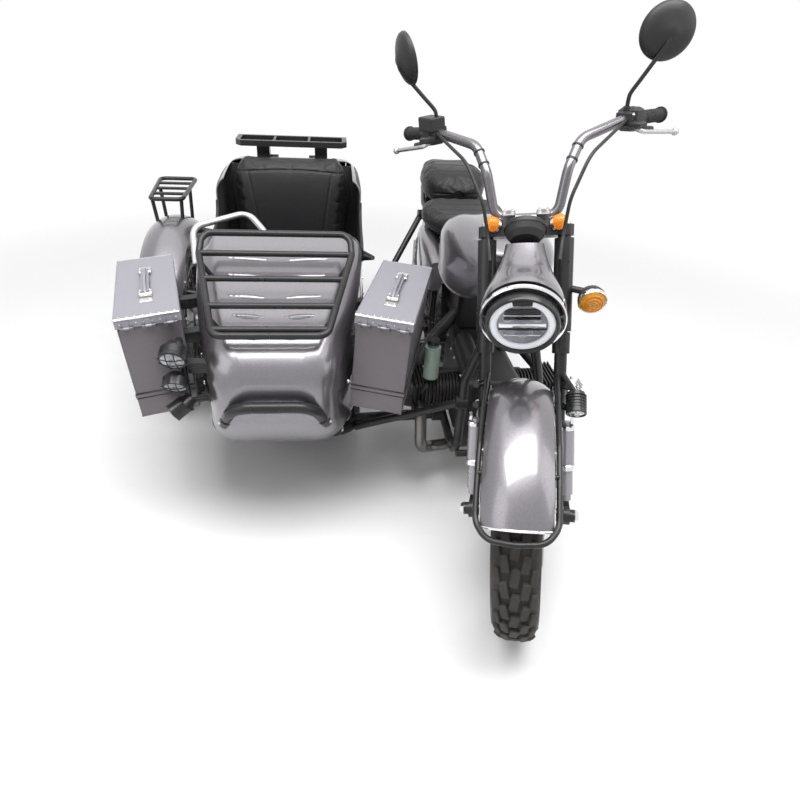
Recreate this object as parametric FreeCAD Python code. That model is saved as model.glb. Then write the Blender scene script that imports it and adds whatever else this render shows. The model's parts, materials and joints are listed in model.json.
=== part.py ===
"""Sidecar motorcycle: a heavy flat-twin machine with a steel-bodied sidecar on the rider's right.

Millimetres. +X is the rider's left, -Y is forward, +Z is up. X = 0 is the motorcycle's centre
plane, Y = 0 the rear axle, Z = 0 the ground. The front end is drawn straight ahead and then
turned as one piece about its steering axis to the parked angle.
"""
import FreeCAD, Part
import math
import os

V = FreeCAD.Vector
os.makedirs("parts", exist_ok=True)

# ------------------------------------------------------------------ driving dimensions
wheelbase = 1435.0
track = 1140.0            # rear wheel plane to sidecar wheel plane
wheel_lead = 280.0        # the sidecar wheel stands this far ahead of the rear axle
tyre_radius = 325.0
tyre_width = 112.0
rim_radius = 234.0        # bead seat
rim_width = 88.0
tyre_gap = 1.0            # tyre side to rim flange
hub_half = 66.0
hub_flange_radius = 62.0
hub_flange_half = 36.0
axle_radius = 10.0
running_clearance = 0.05  # radial, shaft in bore
spoke_count = 36
spoke_radius = 2.0
disc_radius = 140.0
disc_thick = 5.0

rake = 27.0               # degrees, steering axis leaning back
trail = 75.0
parked_turn = 19.0        # degrees the front end is parked turned to the rider's right
leg_half = 100.0          # fork leg to centre plane
leg_ahead = 46.0          # fork legs ahead of the steering axis
leg_radius = 16.5
cover_radius = 25.0
stem_radius = 14.0
clamp_thick = 28.0
top_clamp_z = 950.0
low_clamp_z = 775.0
link_length = 150.0       # leading link, pivot to axle

fender_half = 80.0
fender_radius = 367.0
fender_skirt = 62.0
fender_tip = 51.5         # degrees ahead of the top
sheet = 3.0               # fenders and tub

bar_radius = 13.0
grip_radius = 16.5
pod_radius = 53.0
lamp_radius = 86.0
nacelle_radius = 100.0

crank_z = 345.0
crank_y = -850.0
case_half = 96.0
barrel_radius = 54.0
fin_radius = 71.0
fin_thick = 3.2
fin_pitch = 11.5
fin_count = 8

sidecar_x = -692.0        # tub centre plane
tub_wall = 4.0
tub_floor_z = 240.0
frame_tube = 20.0
frame_z = 205.0
rail_x_in = -450.0
rail_x_out = -940.0

box_width = 165.0
box_length = 428.0
box_height = 310.0
box_sheet = 2.0
box_toe = 15.0
box_lean = 3.0
lid_skirt = 26.0
lid_clearance = 2.0

rack_tube = 10.0
bumper_tube = 16.0


# ------------------------------------------------------------------ small makers
def rod(a, b, radius, bore=0.0):
    """A round bar from a to b, bored through when bore is given."""
    a, b = V(*a), V(*b)
    along = b - a
    bar = Part.makeCylinder(radius, along.Length, a, along)
    if bore:
        bar = bar.cut(Part.makeCylinder(bore, along.Length + 2, a - along.normalize(), along))
    return bar


def path_wire(points, bend):
    """Straight runs joined by tangent arcs of at most the given radius."""
    points = [V(*p) for p in points]
    edges = []
    start = points[0]
    for before, corner, after in zip(points, points[1:], points[2:]):
        back = (before - corner).normalize()
        on = (after - corner).normalize()
        half = back.getAngle(on) / 2
        if half > math.radians(89.4):
            continue
        room = 0.46 * min((before - corner).Length, (after - corner).Length)
        cut = min(bend / math.tan(half), room)
        radius = cut * math.tan(half)
        middle = (back + on).normalize()
        centre = corner + middle * (radius / math.sin(half))
        first, last = corner + back * cut, corner + on * cut
        edges.append(Part.LineSegment(start, first).toShape())
        edges.append(Part.Arc(first, centre - middle * radius, last).toShape())
        start = last
    edges.append(Part.LineSegment(start, points[-1]).toShape())
    return Part.Wire(edges)


def tube(points, radius, bend):
    """A bent round bar along the points."""
    wire = path_wire(points, bend)
    first = V(*points[0])
    ring = Part.Wire([Part.Circle(first, V(*points[1]) - first, radius).toShape()])
    bar = wire.makePipeShell([ring], True, False)
    if bar.Volume < 0:
        bar.reverse()
    return bar


def fused(*shapes):
    shapes = [s for group in shapes for s in (group if isinstance(group, list) else [group])]
    return shapes[0].multiFuse(shapes[1:]) if len(shapes) > 1 else shapes[0]


def mirrored(shape, plane_x=0.0):
    return shape.mirror(V(plane_x, 0, 0), V(1, 0, 0))


def both(shape):
    return [shape, mirrored(shape)]


def block(x0, x1, y0, y1, z0, z1, round_edges=0.0):
    solid = Part.makeBox(x1 - x0, y1 - y0, z1 - z0, V(x0, y0, z0))
    return solid.makeFillet(round_edges, solid.Edges) if round_edges else solid


def outline(points):
    """Closed wire; a point given as (point, middle) is reached by an arc through middle."""
    edges = []
    last = points[0]
    for item in points[1:] + [points[0]]:
        if isinstance(item[0], tuple):
            end, middle = item
            edges.append(Part.Arc(V(*last), V(*middle), V(*end)).toShape())
        else:
            end = item
            if V(*last).distanceToPoint(V(*end)) > 1e-6:
                edges.append(Part.LineSegment(V(*last), V(*end)).toShape())
        last = end
    return Part.Wire(edges)


def spin(profile, centre, turn=360.0, start=0.0):
    """Turn an (x, radius) profile about the X axis through centre. Forward is positive."""
    face = Part.Face(outline([((p[0][0], 0, p[0][1]), (p[1][0], 0, p[1][1]))
                              if isinstance(p[0], tuple) else (p[0], 0, p[1]) for p in profile]))
    solid = face.revolve(V(0, 0, 0), V(1, 0, 0), turn)
    solid.rotate(V(0, 0, 0), V(1, 0, 0), start)
    solid.translate(V(*centre))
    return solid


def turned(profile, base, direction):
    """Turn an (along, radius) profile into a round body from base along direction."""
    face = Part.Face(outline([((0, p[0][1], p[0][0]), (0, p[1][1], p[1][0]))
                              if isinstance(p[0], tuple) else (0, p[1], p[0]) for p in profile]))
    solid = face.revolve(V(0, 0, 0), V(0, 0, 1), 360)
    solid.Placement = FreeCAD.Placement(V(*base), FreeCAD.Rotation(V(0, 0, 1), V(*direction)))
    return solid


def section(y, half, low, high, r_low, r_high, x=0.0):
    """Rounded rectangle across the machine at y."""
    k = 1 - math.sqrt(0.5)
    left, right = x - half, x + half
    return outline([
        (left + r_low, y, low), (right - r_low, y, low),
        ((right, y, low + r_low), (right - k * r_low, y, low + k * r_low)),
        (right, y, high - r_high),
        ((right - r_high, y, high), (right - k * r_high, y, high - k * r_high)),
        (left + r_high, y, high),
        ((left, y, high - r_high), (left + k * r_high, y, high - k * r_high)),
        (left, y, low + r_low),
        ((left + r_low, y, low), (left + k * r_low, y, low + k * r_low))][:-1]
        + [((left + r_low, y, low), (left + k * r_low, y, low + k * r_low))])


def lofted(rows, x=0.0, grow=0.0):
    """Loft of rounded sections; rows are (y, half width, low, high, low radius, high radius)."""
    wires = [section(y, half + grow, low - grow, high + grow, max(r_low + grow, 8),
                     max(r_high + grow, 8), x) for y, half, low, high, r_low, r_high in rows]
    return Part.makeLoft(wires, True, False)


def prism(points, direction):
    return Part.Face(outline(points)).extrude(V(*direction))


def on_axis(z, ahead=0.0, x=0.0):
    """Point on the steering axis at height z, moved ahead of it at a right angle."""
    lean = math.radians(rake)
    return (x, -wheelbase - trail + z * math.tan(lean) - ahead * math.cos(lean),
            z + ahead * math.sin(lean))


def along_axis(z, distance):
    """Point on the steering axis a distance above height z."""
    lean = math.radians(rake)
    base = on_axis(z)
    return (0.0, base[1] + distance * math.sin(lean), base[2] + distance * math.cos(lean))


axis_direction = (0.0, math.sin(math.radians(rake)), math.cos(math.radians(rake)))
front_axle = (0.0, -wheelbase, tyre_radius)


def park(shape):
    """Turn a front-end piece to its parked angle and set the tyre on the ground."""
    shape = shape.copy()
    shape.rotate(V(*on_axis(0)), V(*axis_direction), -parked_turn)
    shape.translate(V(0, 0, parked_lift))
    return shape


def wheel_drop():
    """Height of the turned front tyre's lowest point when only turned about the axis."""
    mark = Part.Vertex(*front_axle)
    side = Part.Vertex(1, front_axle[1], front_axle[2])
    for point in (mark, side):
        point.rotate(V(*on_axis(0)), V(*axis_direction), -parked_turn)
    centre, beside = mark.Point, side.Point
    lean = beside.z - centre.z
    crown = 60.0              # radius of the tread's crown across the tyre
    return centre.z - (tyre_radius - crown) * math.sqrt(1 - lean * lean) - crown


parked_lift = -wheel_drop()


# ------------------------------------------------------------------ wheels
def tyre(centre):
    bead, half = rim_width / 2 - tyre_gap, tyre_width / 2
    profile = [(-bead, rim_radius), (bead, rim_radius), (bead, rim_radius + 12),
               ((half - 8, tyre_radius - 20), (half, tyre_radius - 48)),
               ((-half + 8, tyre_radius - 20), (0, tyre_radius)),
               ((-bead, rim_radius + 12), (-half, tyre_radius - 48))]
    return spin(profile, centre)


def wheel(centre, disc_side=1):
    half = rim_width / 2
    rim = spin([(-half, rim_radius), (-half, rim_radius + 11), (-half - 4, rim_radius + 11),
                (-half - 4, rim_radius - 6), (-20, rim_radius - 18), (20, rim_radius - 18),
                (half + 4, rim_radius - 6), (half + 4, rim_radius + 11), (half, rim_radius + 11),
                (half, rim_radius)], (0, 0, 0))
    bore = axle_radius + running_clearance
    flange, face = hub_flange_radius, hub_flange_half
    hub = spin([(-hub_half, bore), (-hub_half, 28), (-face - 8, 34), (-face - 6, flange),
                (-face, flange), (-face + 6, 44), (face - 6, 44), (face, flange),
                (face + 6, flange), (face + 8, 34), (hub_half, 28), (hub_half, bore)], (0, 0, 0))
    disc = spin([(hub_half - disc_thick, 27), (hub_half - disc_thick, disc_radius),
                 (hub_half, disc_radius), (hub_half, 27)], (0, 0, 0))
    windows = [rod((hub_half - 9, 84 * math.cos(t), 84 * math.sin(t)),
                   (hub_half + 4, 84 * math.cos(t), 84 * math.sin(t)), 19)
               for t in [math.radians(60 * n) for n in range(6)]]
    disc = disc.cut(Part.makeCompound(windows))
    spokes = []
    for n in range(spoke_count):
        side = 1 if n % 2 else -1
        lay = 15 if n % 4 < 2 else -15
        at = math.radians(360.0 / spoke_count * n)
        root = at + math.radians(lay)
        foot = V(side * (face + 3), (flange - 6) * math.sin(root), (flange - 6) * math.cos(root))
        head = V(side * 8, (rim_radius - 12) * math.sin(at), (rim_radius - 12) * math.cos(at))
        spokes.append(hexagon_bar(foot, head, spoke_radius))
    body = fused([rim, hub, disc] + spokes)
    if disc_side < 0:
        body = mirrored(body)
    body.translate(V(*centre))
    return body


def hexagon_bar(a, b, radius):
    along = b - a
    across = along.cross(V(0, 0, 1) if abs(along.z) < 0.9 * along.Length else V(1, 0, 0)).normalize()
    other = along.cross(across).normalize()
    ring = [a + across * (radius * math.cos(t)) + other * (radius * math.sin(t))
            for t in [math.pi / 3 * n for n in range(6)]]
    return Part.Face(Part.makePolygon(ring + [ring[0]])).extrude(along)


def fender(centre, half, radius, first, last, skirt=fender_skirt):
    """Rounded arch with side skirts and a rolled edge, from angle first to last."""
    low, side, inner = radius - skirt, radius - 34, sheet
    arch = spin([(-half, low), (-half, side), ((half, side), (0, radius)), (half, low),
                 (half - inner, low), (half - inner, side - inner),
                 ((-half + inner, side - inner), (0, radius - inner)), (-half + inner, low)],
                centre, last - first, first)
    return arch


# ------------------------------------------------------------------ front end (drawn straight)
def leg_point(z, x=leg_half, extra=0.0):
    return on_axis(z, leg_ahead + extra, x)


pivot_y = -wheelbase + link_length
pivot_radius = 15.0
shock_top = (118.0, -1318.0, 552.0)
pivot_z = tyre_radius - 22.0
link_x = 126.0


def fork():
    lean = math.radians(rake)
    upper = leg_point(top_clamp_z + 14 * math.cos(lean))
    lower = leg_point(480)
    leg = tube([upper, lower, (leg_half, pivot_y, pivot_z)], leg_radius, 120)
    boss = rod((leg_half - 12, pivot_y, pivot_z), (link_x + 12, pivot_y, pivot_z), pivot_radius)
    pieces = both(leg) + both(boss)
    for z in (top_clamp_z, low_clamp_z):
        pieces.append(clamp_plate(z))
    stem_low, stem_high = along_axis(low_clamp_z, 0), along_axis(top_clamp_z, clamp_thick)
    pieces.append(rod(stem_low, stem_high, stem_radius))
    for z, ahead in ((600, 58), (shock_top[2], 66)):
        pieces += both(rod(leg_point(z), (shock_top[0], *leg_point(z, 0, ahead)[1:]), 9))
    return fused(pieces)


def clamp_plate(z):
    """Fork clamp: a waisted plate square to the steering axis, round at both legs."""
    lean = FreeCAD.Rotation(V(1, 0, 0), -rake)
    reach, ear = leg_half, 24.0
    plate = Part.makeBox(2 * reach, 46, clamp_thick, V(-reach, -leg_ahead - 16, 0))
    hub = Part.makeCylinder(32, clamp_thick)
    ears = [Part.makeCylinder(ear, clamp_thick, V(s * reach, -leg_ahead, 0)) for s in (-1, 1)]
    solid = fused([plate, hub] + ears)
    solid.Placement = FreeCAD.Placement(V(*on_axis(z)), lean)
    return solid


def fork_covers():
    cover = rod(leg_point(low_clamp_z - 48), leg_point(top_clamp_z - 6), cover_radius, leg_radius)
    cover = cover.cut(fused([clamp_plate(low_clamp_z), clamp_plate(top_clamp_z)]))
    top = max(cover.Solids, key=lambda s: s.Volume)
    boot = rod(leg_point(low_clamp_z - 100), leg_point(low_clamp_z - 50), cover_radius - 2,
               leg_radius)
    return Part.makeCompound(both(top) + both(boot))


def leading_links():
    axle = (0, front_axle[1], front_axle[2])
    plate = fused([rod((link_x - 8, *axle[1:]), (link_x + 8, *axle[1:]), 24),
                   rod((link_x - 8, pivot_y, pivot_z), (link_x + 8, pivot_y, pivot_z), 24),
                   prism([(link_x - 8, pivot_y, pivot_z + 20), (link_x - 8, pivot_y, pivot_z - 20),
                          (link_x - 8, axle[1], axle[2] - 20), (link_x - 8, axle[1], axle[2] + 20)],
                         (16, 0, 0))])
    plate = plate.cut(rod((link_x - 9, pivot_y, pivot_z), (link_x + 9, pivot_y, pivot_z),
                          pivot_radius + running_clearance))
    spacer = rod((hub_half + 1, *axle[1:]), (link_x - 8, *axle[1:]), 17)
    nut = rod((link_x + 8, *axle[1:]), (link_x + 22, *axle[1:]), 17)
    spindle = rod((-link_x - 22, *axle[1:]), (link_x + 22, *axle[1:]), axle_radius)
    return fused([spindle] + both(plate) + both(spacer) + both(nut))


def front_shocks():
    foot = V(link_x, front_axle[1] + 34, front_axle[2] + 26)
    return Part.makeCompound(both(shock(foot, V(*shock_top), 21, covered=True)))


def shock(foot, top, radius, covered=False):
    """Telescopic unit: eye, rod, then either a smooth cover or coil turns."""
    length = (top - foot).Length
    profile = [(0, 0.0), (0, 12.0), (0.08 * length, 12.0), (0.08 * length, radius * 0.8)]
    if covered:
        profile += [(0.42 * length, radius * 0.8), (0.42 * length, radius), (0.93 * length, radius)]
    else:
        turns, first, last = 7, 0.16 * length, 0.88 * length
        pitch = (last - first) / turns
        profile += [(first, radius * 0.8)]
        for n in range(turns):
            base = first + n * pitch
            profile += [((base + pitch, radius * 0.8), (base + pitch / 2, radius))]
        profile += [(0.93 * length, radius * 0.8)]
    profile += [(0.93 * length, 12.0), (length, 12.0), (length, 0.0)]
    return turned(profile, (foot.x, foot.y, foot.z), tuple(top - foot))


lamp_y = -1352.0
lamp_z = 864.0


def headlight_nacelle():
    """Bucket behind the lamp, drawn in to the neck under the instrument."""
    lean = math.radians(14)
    front = V(0, lamp_y + 18, lamp_z + 8)
    rows = [(front, lean, nacelle_radius), (front + V(0, 52, 16), lean + 0.2, nacelle_radius - 5),
            (front + V(0, 108, 58), lean + 0.6, 70), (V(0, -1162, 984), lean + 0.9, 48)]
    shell = Part.makeLoft([ring_wire(c, a, r) for c, a, r in rows], True, False)
    hollow = Part.makeLoft([ring_wire(front - V(0, 4, 0), lean, nacelle_radius - 4),
                            ring_wire(front + V(0, 52, 16), lean + 0.2, nacelle_radius - 9)],
                           True, False)
    covers = both(rod(leg_point(low_clamp_z - 60), leg_point(top_clamp_z), cover_radius + 2))
    keep_off = Part.makeCylinder(46, 320, V(*along_axis(low_clamp_z, -60)), V(*axis_direction))
    clamps = [clamp_plate(top_clamp_z), clamp_plate(low_clamp_z)]
    shell = shell.cut(hollow).cut(fused(clamps + covers + [keep_off]))
    return max(shell.Solids, key=lambda s: s.Volume)


def ring_wire(centre, tilt, radius):
    return Part.Wire([Part.Circle(centre, V(0, -math.cos(tilt), -math.sin(tilt)), radius).toShape()])


def headlight():
    tilt = math.radians(14)
    face = (0, -math.cos(tilt), -math.sin(tilt))
    back = V(0, lamp_y, lamp_z) - V(*face) * 34
    r = lamp_radius
    shell = turned([(0, 0), (0, r - 36), (10, r - 9), (24, r), (40, r), (44, r - 5), (40, r - 10),
                    (44, 0)], tuple(back), face)
    y, z = lamp_y + 6, lamp_z + 2
    bolts = both(rod((r - 3, y, z), (nacelle_radius - 4, y + 16, z + 4), 5))
    return fused([shell] + bolts)


def instrument_pod():
    direction = (0, 0.75, 0.66)
    base = V(0, -1150, 988)
    pod = turned([(0, 0), (0, 36), (14, pod_radius - 6), (34, pod_radius), (40, pod_radius - 3),
                  (40, 0)], tuple(base), direction)
    stalk = rod(along_axis(top_clamp_z, clamp_thick - 4), tuple(base + V(*direction) * 8), 12)
    return fused([pod, stalk])


riser_y, riser_z = -1051.0, 1016.0
grip_root = (240.0, -890.0, 1214.0)
grip_tip = (352.0, -745.0, 1196.0)


def handlebar():
    """Tall wide bar on two risers; columns are x, y, z of the left half's bend points."""
    bends = [(0, riser_y, riser_z), (80, riser_y, riser_z), (102, riser_y + 30, 1130),
             (132, riser_y + 82, 1190), grip_root, grip_tip]
    left = tube(bends, bar_radius, 60)
    risers = []
    foot = along_axis(top_clamp_z, clamp_thick)
    for s in (-1, 1):
        risers.append(rod((s * 45, foot[1] - 12, foot[2] + 4), (s * 45, riser_y, riser_z), 15))
        risers.append(block(s * 45 - 18, s * 45 + 18, riser_y - 20, riser_y + 20, riser_z - 18,
                            riser_z + 18, 4))
    return fused([left, mirrored(left)] + risers).cut(clamp_plate(top_clamp_z))


def bar_point(share, s=1):
    """Point on the grip stretch of the bar; share 0 is its inner end, 1 its tip."""
    a, b = V(s * grip_root[0], *grip_root[1:]), V(s * grip_tip[0], *grip_tip[1:])
    return a + (b - a) * share


def hand_controls():
    solids = []
    for s in (-1, 1):
        grip = rod(tuple(bar_point(0.36, s)), tuple(bar_point(1.04, s)), grip_radius)
        perch = rod(tuple(bar_point(0.04, s)), tuple(bar_point(0.3, s)), 22)
        ahead = V(s * 26, -52, -26)
        root, tip = bar_point(0.1, s) + ahead * 0.9, bar_point(0.98, s) + ahead * 1.3
        lever = tube([tuple(bar_point(0.1, s)), tuple(root), tuple(root + (tip - root) * 0.4),
                      tuple(tip)], 6, 20)
        ball = Part.makeSphere(10, tip)
        solids.append(fused([grip, perch, lever, ball]))
    reservoir = block(-24, 24, -34, 34, 0, 38, 5)
    reservoir.Placement = FreeCAD.Placement(bar_point(0.16, -1) + V(-6, -6, 8),
                                            FreeCAD.Rotation(V(0, 0, 1), 42))
    solids[0] = fused([solids[0], reservoir])
    bar = handlebar()
    return Part.makeCompound([s.cut(bar) for s in solids])


def mirrors():
    solids = []
    for s in (-1, 1):
        root = bar_point(0.05, s)
        head = V(s * 318, -905, 1404)
        stem = tube([tuple(root + V(0, 0, 20)), tuple(root + V(s * 2, -6, 62)),
                     tuple(head + V(-s * 12, -26, -70)), tuple(head + V(0, -14, 0))], 5, 60)
        cup = turned([(0, 0), (0, 20), (16, 56), (24, 64), (30, 64), (30, 0)],
                     tuple(head + V(0, -22, 0)), (-s * 0.15, 0.98, 0.1))
        solids.append(fused([stem, cup]))
    return Part.makeCompound(solids)


def front_fender():
    arch = fender((0, *front_axle[1:]), fender_half, fender_radius, -58, fender_tip)
    foot, leg = leg_point(575)[1:], leg_half - leg_radius + 3
    return fused([arch] + both(rod((fender_half - 2, *foot), (leg, *foot), 10)))


def fender_guard():
    """Tube hoop hugging the fender's edge and nose, its ends on the fork legs."""
    x, edge = fender_half + 11.0, fender_radius - fender_skirt + 6

    def at(degrees, radius, x=x):
        t = math.radians(degrees)
        return (x, front_axle[1] - radius * math.sin(t), front_axle[2] + radius * math.cos(t))
    side = [leg_point(626, leg_half - 8), at(-4, edge + 14), at(16, edge), at(34, edge),
            at(50, edge + 18), at(fender_tip + 4, edge + 46, 64)]
    nose = at(fender_tip + 4.5, fender_radius + 4, 0.0)
    hoop = tube(side + [nose] + [(-p[0], p[1], p[2]) for p in reversed(side)], 7, 60)
    foot = rod(at(30, edge + 2, fender_half - 2), at(30, edge + 2, x), 6)
    return fused([hoop] + both(foot))


def turn_signals():
    root = V(*leg_point(low_clamp_z + 52, leg_half + cover_radius - 2))
    stem = rod(tuple(root), tuple(root + V(30, -8, -4)), 9)
    body = turned([(0, 0), (0, 12), (20, 30), (34, 35), (50, 35), (56, 30), (62, 0)],
                  tuple(root + V(44, -2, -4)), (0.1, -0.97, -0.2))
    return [fused([stem, body])]


def marker_lamps():
    lamps = []
    for s in (-1, 1):
        base = (s * 70, -1072, 1004)
        lamps.append(turned([(0, 0), (0, 16), (26, 16), (34, 8), (36, 0)], base, (s * 1, -0.3, 0.5)))
    return lamps


def indicator_lamps():
    return Part.makeCompound(turn_signals() + marker_lamps())


def auxiliary_lamp():
    root = leg_point(634, leg_half)
    centre = V(138, -1330, 620)
    face = V(0, -0.82, -0.57)
    arm = rod(root, tuple(centre - face * 22), 8)
    body = turned([(0, 0), (0, 22), (50, 25), (56, 25), (56, 0)], tuple(centre - face * 28),
                  tuple(face))
    return fused([arm, body])


def brake_caliper():
    y, z = front_axle[1] + 96, front_axle[2] + 84
    body = block(hub_half - 26, hub_half + 22, y - 34, y + 34, z - 34, z + 34, 6)
    slot = rod((hub_half - disc_thick - 2, *front_axle[1:]), (hub_half + 2, *front_axle[1:]),
               disc_radius + 4)
    carrier = block(hub_half + 20, link_x - 8, y - 10, y + 14, z - 34, z - 10)
    foot = prism([(link_x - 20, y - 10, z - 10), (link_x - 20, y + 14, z - 34),
                  (link_x - 20, pivot_y + 4, pivot_z + 16), (link_x - 20, pivot_y - 24, pivot_z + 12)],
                 (11, 0, 0))
    return fused([body.cut(slot), carrier, foot])


def control_cables():
    """Cables from both hand controls to the stem, held at each end."""
    routes = []
    for s, spread in ((1, 0), (-1, 0)):
        start = bar_point(0.12, s) + V(-s * 6, -26, 4)
        routes.append([tuple(start), (s * 150, -1065, 1170), (s * 106, -1118, 1080),
                       (s * 92, -1130, 985), (s * 84, -1200, 955)])
    return Part.makeCompound([tube(r, 4.5, 90) for r in routes])


# ------------------------------------------------------------------ motorcycle
def head_point(distance):
    """Point on the frame's steering head, a distance above the lower clamp's foot."""
    return tuple(V(*along_axis(low_clamp_z, distance)) + V(0, 0, parked_lift))


def bike_frame():
    span = (top_clamp_z - low_clamp_z) / math.cos(math.radians(rake))
    head = rod(head_point(clamp_thick + 1), head_point(span - 1), 27)
    middle = head_point(span / 2 + 10)
    spine = (0, -1000, 800)
    pieces = [rod(spine, (0, -430, 690), 20), rod((0, middle[1] + 18, middle[2]), spine, 22)]
    side = tube([(20, middle[1] + 22, middle[2] - 30), (118, -1040, 500), (118, -1050, 190),
                 (118, -470, 190), (118, -400, 420), (118, -430, 690)], 15, 90)
    rail = tube([(60, -760, 745), (118, -430, 700), (118, 60, 745), (95, 250, 770)], 13, 120)
    brace = rod((118, -420, 380), (118, -60, 728), 12)
    pieces += both(side) + both(rail) + both(brace)
    for y, z, r in ((-1050, 215, 12), (-470, 190, 12), (-430, 690, 13), (60, 745, 12), (250, 770, 12)):
        pieces.append(rod((-118 if y < 200 else -95, y, z), (118 if y < 200 else 95, y, z), r))
    pieces.append(rod((-118, -425, 320), (118, -425, 320), swing_pivot_radius))
    hanger = block(-24, 24, 50, 70, 690, 745).cut(rear_fender())
    pieces.append(max(hanger.Solids, key=lambda s: s.BoundBox.ZMax))
    bore = rod(head_point(0), head_point(span), stem_radius + 3)
    return fused([head] + pieces + seat_bearers()).cut(bore)


swing_pivot_radius = 17.0


def engine_block():
    case = block(-case_half, case_half, -985, -690, 178, 455, 22)
    gearbox = block(-78, 78, -700, -500, 190, 430, 20)
    cover = rod((0, -1012, crank_z + 10), (0, -980, crank_z + 10), 84)
    starter = rod((-58, -900, 470), (-58, -720, 470), 32)
    return fused([case, gearbox, cover, starter])


def cylinders():
    first = case_half
    sides = []
    profile = [(first, 0), (first, barrel_radius)]
    for n in range(fin_count):
        x = first + 8 + n * fin_pitch
        profile += [(x, barrel_radius), (x, fin_radius), (x + fin_thick, fin_radius),
                    (x + fin_thick, barrel_radius)]
    last = first + 8 + fin_count * fin_pitch
    profile += [(last, barrel_radius), (last, 0)]
    barrel = spin(profile, (0, crank_y, crank_z))
    head = block(last, last + 62, crank_y - 62, crank_y + 62, crank_z - 52, crank_z + 52, 8)
    fins = [block(last + 4 + n * 12, last + 8 + n * 12, crank_y - 74, crank_y + 74,
                  crank_z - 66, crank_z + 66) for n in range(5)]
    cover = Part.makeLoft([side_oval(last + 62, 62, 50), side_oval(last + 84, 58, 46),
                           side_oval(last + 104, 40, 30)], True, False)
    return Part.makeCompound(both(fused([barrel, head, cover] + fins)))


def side_oval(x, half_y, half_z):
    k = 1 - math.sqrt(0.5)
    r = min(half_y, half_z) * 0.7
    y0, y1, z0, z1 = crank_y - half_y, crank_y + half_y, crank_z - half_z, crank_z + half_z
    return outline([(x, y0 + r, z0), (x, y1 - r, z0), ((x, y1, z0 + r), (x, y1 - k * r, z0 + k * r)),
                    (x, y1, z1 - r), ((x, y1 - r, z1), (x, y1 - k * r, z1 - k * r)),
                    (x, y0 + r, z1), ((x, y0, z1 - r), (x, y0 + k * r, z1 - k * r)),
                    (x, y0, z0 + r)] + [((x, y0 + r, z0), (x, y0 + k * r, z0 + k * r))])


def intake():
    pieces = [block(-74, 74, -660, -470, 470, 640, 24)]
    runner = tube([(228, crank_y + 60, crank_z + 18), (228, -742, 372), (150, -640, 440),
                   (60, -600, 530)], 22, 60)
    return fused(pieces + both(runner))


def exhaust():
    left = tube([(236, crank_y - 62, crank_z - 18), (236, -978, crank_z - 20), (232, -1000, 205),
                 (205, -900, 176), (180, -420, 176), (196, -250, 230)], 20, 60)
    right = tube([(-236, crank_y - 62, crank_z - 18), (-236, -978, crank_z - 20), (-232, -1000, 205),
                  (-190, -930, 150), (0, -880, 140), (150, -800, 150), (188, -700, 174)], 20, 50)
    silencer = turned([(0, 0), (0, 20), (50, 46), (470, 46), (520, 30), (530, 30), (530, 0)],
                      (196, -262, 228), (0.03, 0.985, 0.17))
    return fused([left, right, silencer])


def swingarm():
    arm = tube([(100, -425, 320), (104, -300, 325), (104, -24, tyre_radius)], 19, 60)
    pieces = both(arm) + [rod((-100, -425, 320), (100, -425, 320), 22, swing_pivot_radius),
                          rod((-150, 0, tyre_radius), (140, 0, tyre_radius), axle_radius)]
    pieces += both(rod((hub_half + 1, 0, tyre_radius), (126, 0, tyre_radius), 22))
    pieces += both(rod((100, -330, 330), (100, -330, 326), 10))
    return fused(pieces)


def final_drive():
    housing = spin([(-160, 0), (-160, 44), (-150, 70), (-128, 78), (-127, 78), (-127, 0)],
                   (0, 0, tyre_radius))
    housing = housing.cut(rod((-170, 0, tyre_radius), (-120, 0, tyre_radius), axle_radius))
    shaft = tube([(-140, -60, tyre_radius), (-140, -320, 322), (-128, -360, 322)], 17, 20)
    return fused([housing, shaft])


def rear_shocks():
    foot, top = V(140, -70, 372), V(142, -150, 690)
    eye = both(rod((118, foot.y, foot.z - 8), (150, foot.y, foot.z - 8), 9))
    return both(shock(foot, top, 29))


def suspension_units():
    return Part.makeCompound(rear_shocks() + [sidecar_shock()])


def fuel_tank():
    rows = [(-1000, 78, 800, 880, 30, 36), (-960, 118, 748, 906, 34, 60),
            (-840, 158, 700, 922, 36, 84), (-680, 166, 690, 912, 36, 84),
            (-560, 140, 695, 870, 32, 60), (-520, 112, 705, 836, 28, 44)]
    tank = lofted(rows)
    tunnel = block(-34, 34, -1100, -480, 600, 830)
    return tank.cut(tunnel)


def rider_saddle():
    rows = [(-500, 70, 735, 800, 24, 30), (-440, 110, 735, 815, 26, 36),
            (-300, 168, 735, 812, 30, 38), (-190, 172, 738, 822, 30, 40), (-130, 120, 745, 815, 28, 34)]
    return lofted(rows)


def pillion_seat():
    rows = [(-92, 96, 790, 866, 20, 26), (-50, 122, 782, 886, 24, 36), (150, 128, 782, 900, 24, 38),
            (250, 112, 790, 892, 22, 34)]
    return lofted(rows)


def seat_bearers():
    """Cross bearers that lift both seats off the frame rails."""
    return [block(-112, 112, -300, -270, 712, 734.7), block(-112, 112, -200, -176, 724, 736.7),
            block(-112, 112, 40, 66, 745, 781.7), block(-100, 100, 180, 206, 764, 785)]


def rear_fender():
    return fender((0, 0, tyre_radius), 92, 388, -112, 58, 80)


def tail_lamp():
    t = math.radians(-62)
    y, z = -388 * math.sin(t), tyre_radius + 388 * math.cos(t)
    stalk = block(-30, 30, y - 2, y + 26, z - 26, z + 26, 4)
    lens = turned([(0, 0), (0, 40), (16, 40), (24, 30), (26, 0)], (0, y + 22, z + 8), (0, 1, 0.1))
    plate = block(-105, 105, y + 34, y + 37, z - 180, z - 46)
    arm = block(-12, 12, y + 4, y + 36, z - 70, z - 20)
    return [fused([stalk, lens, arm, plate])]


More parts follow.
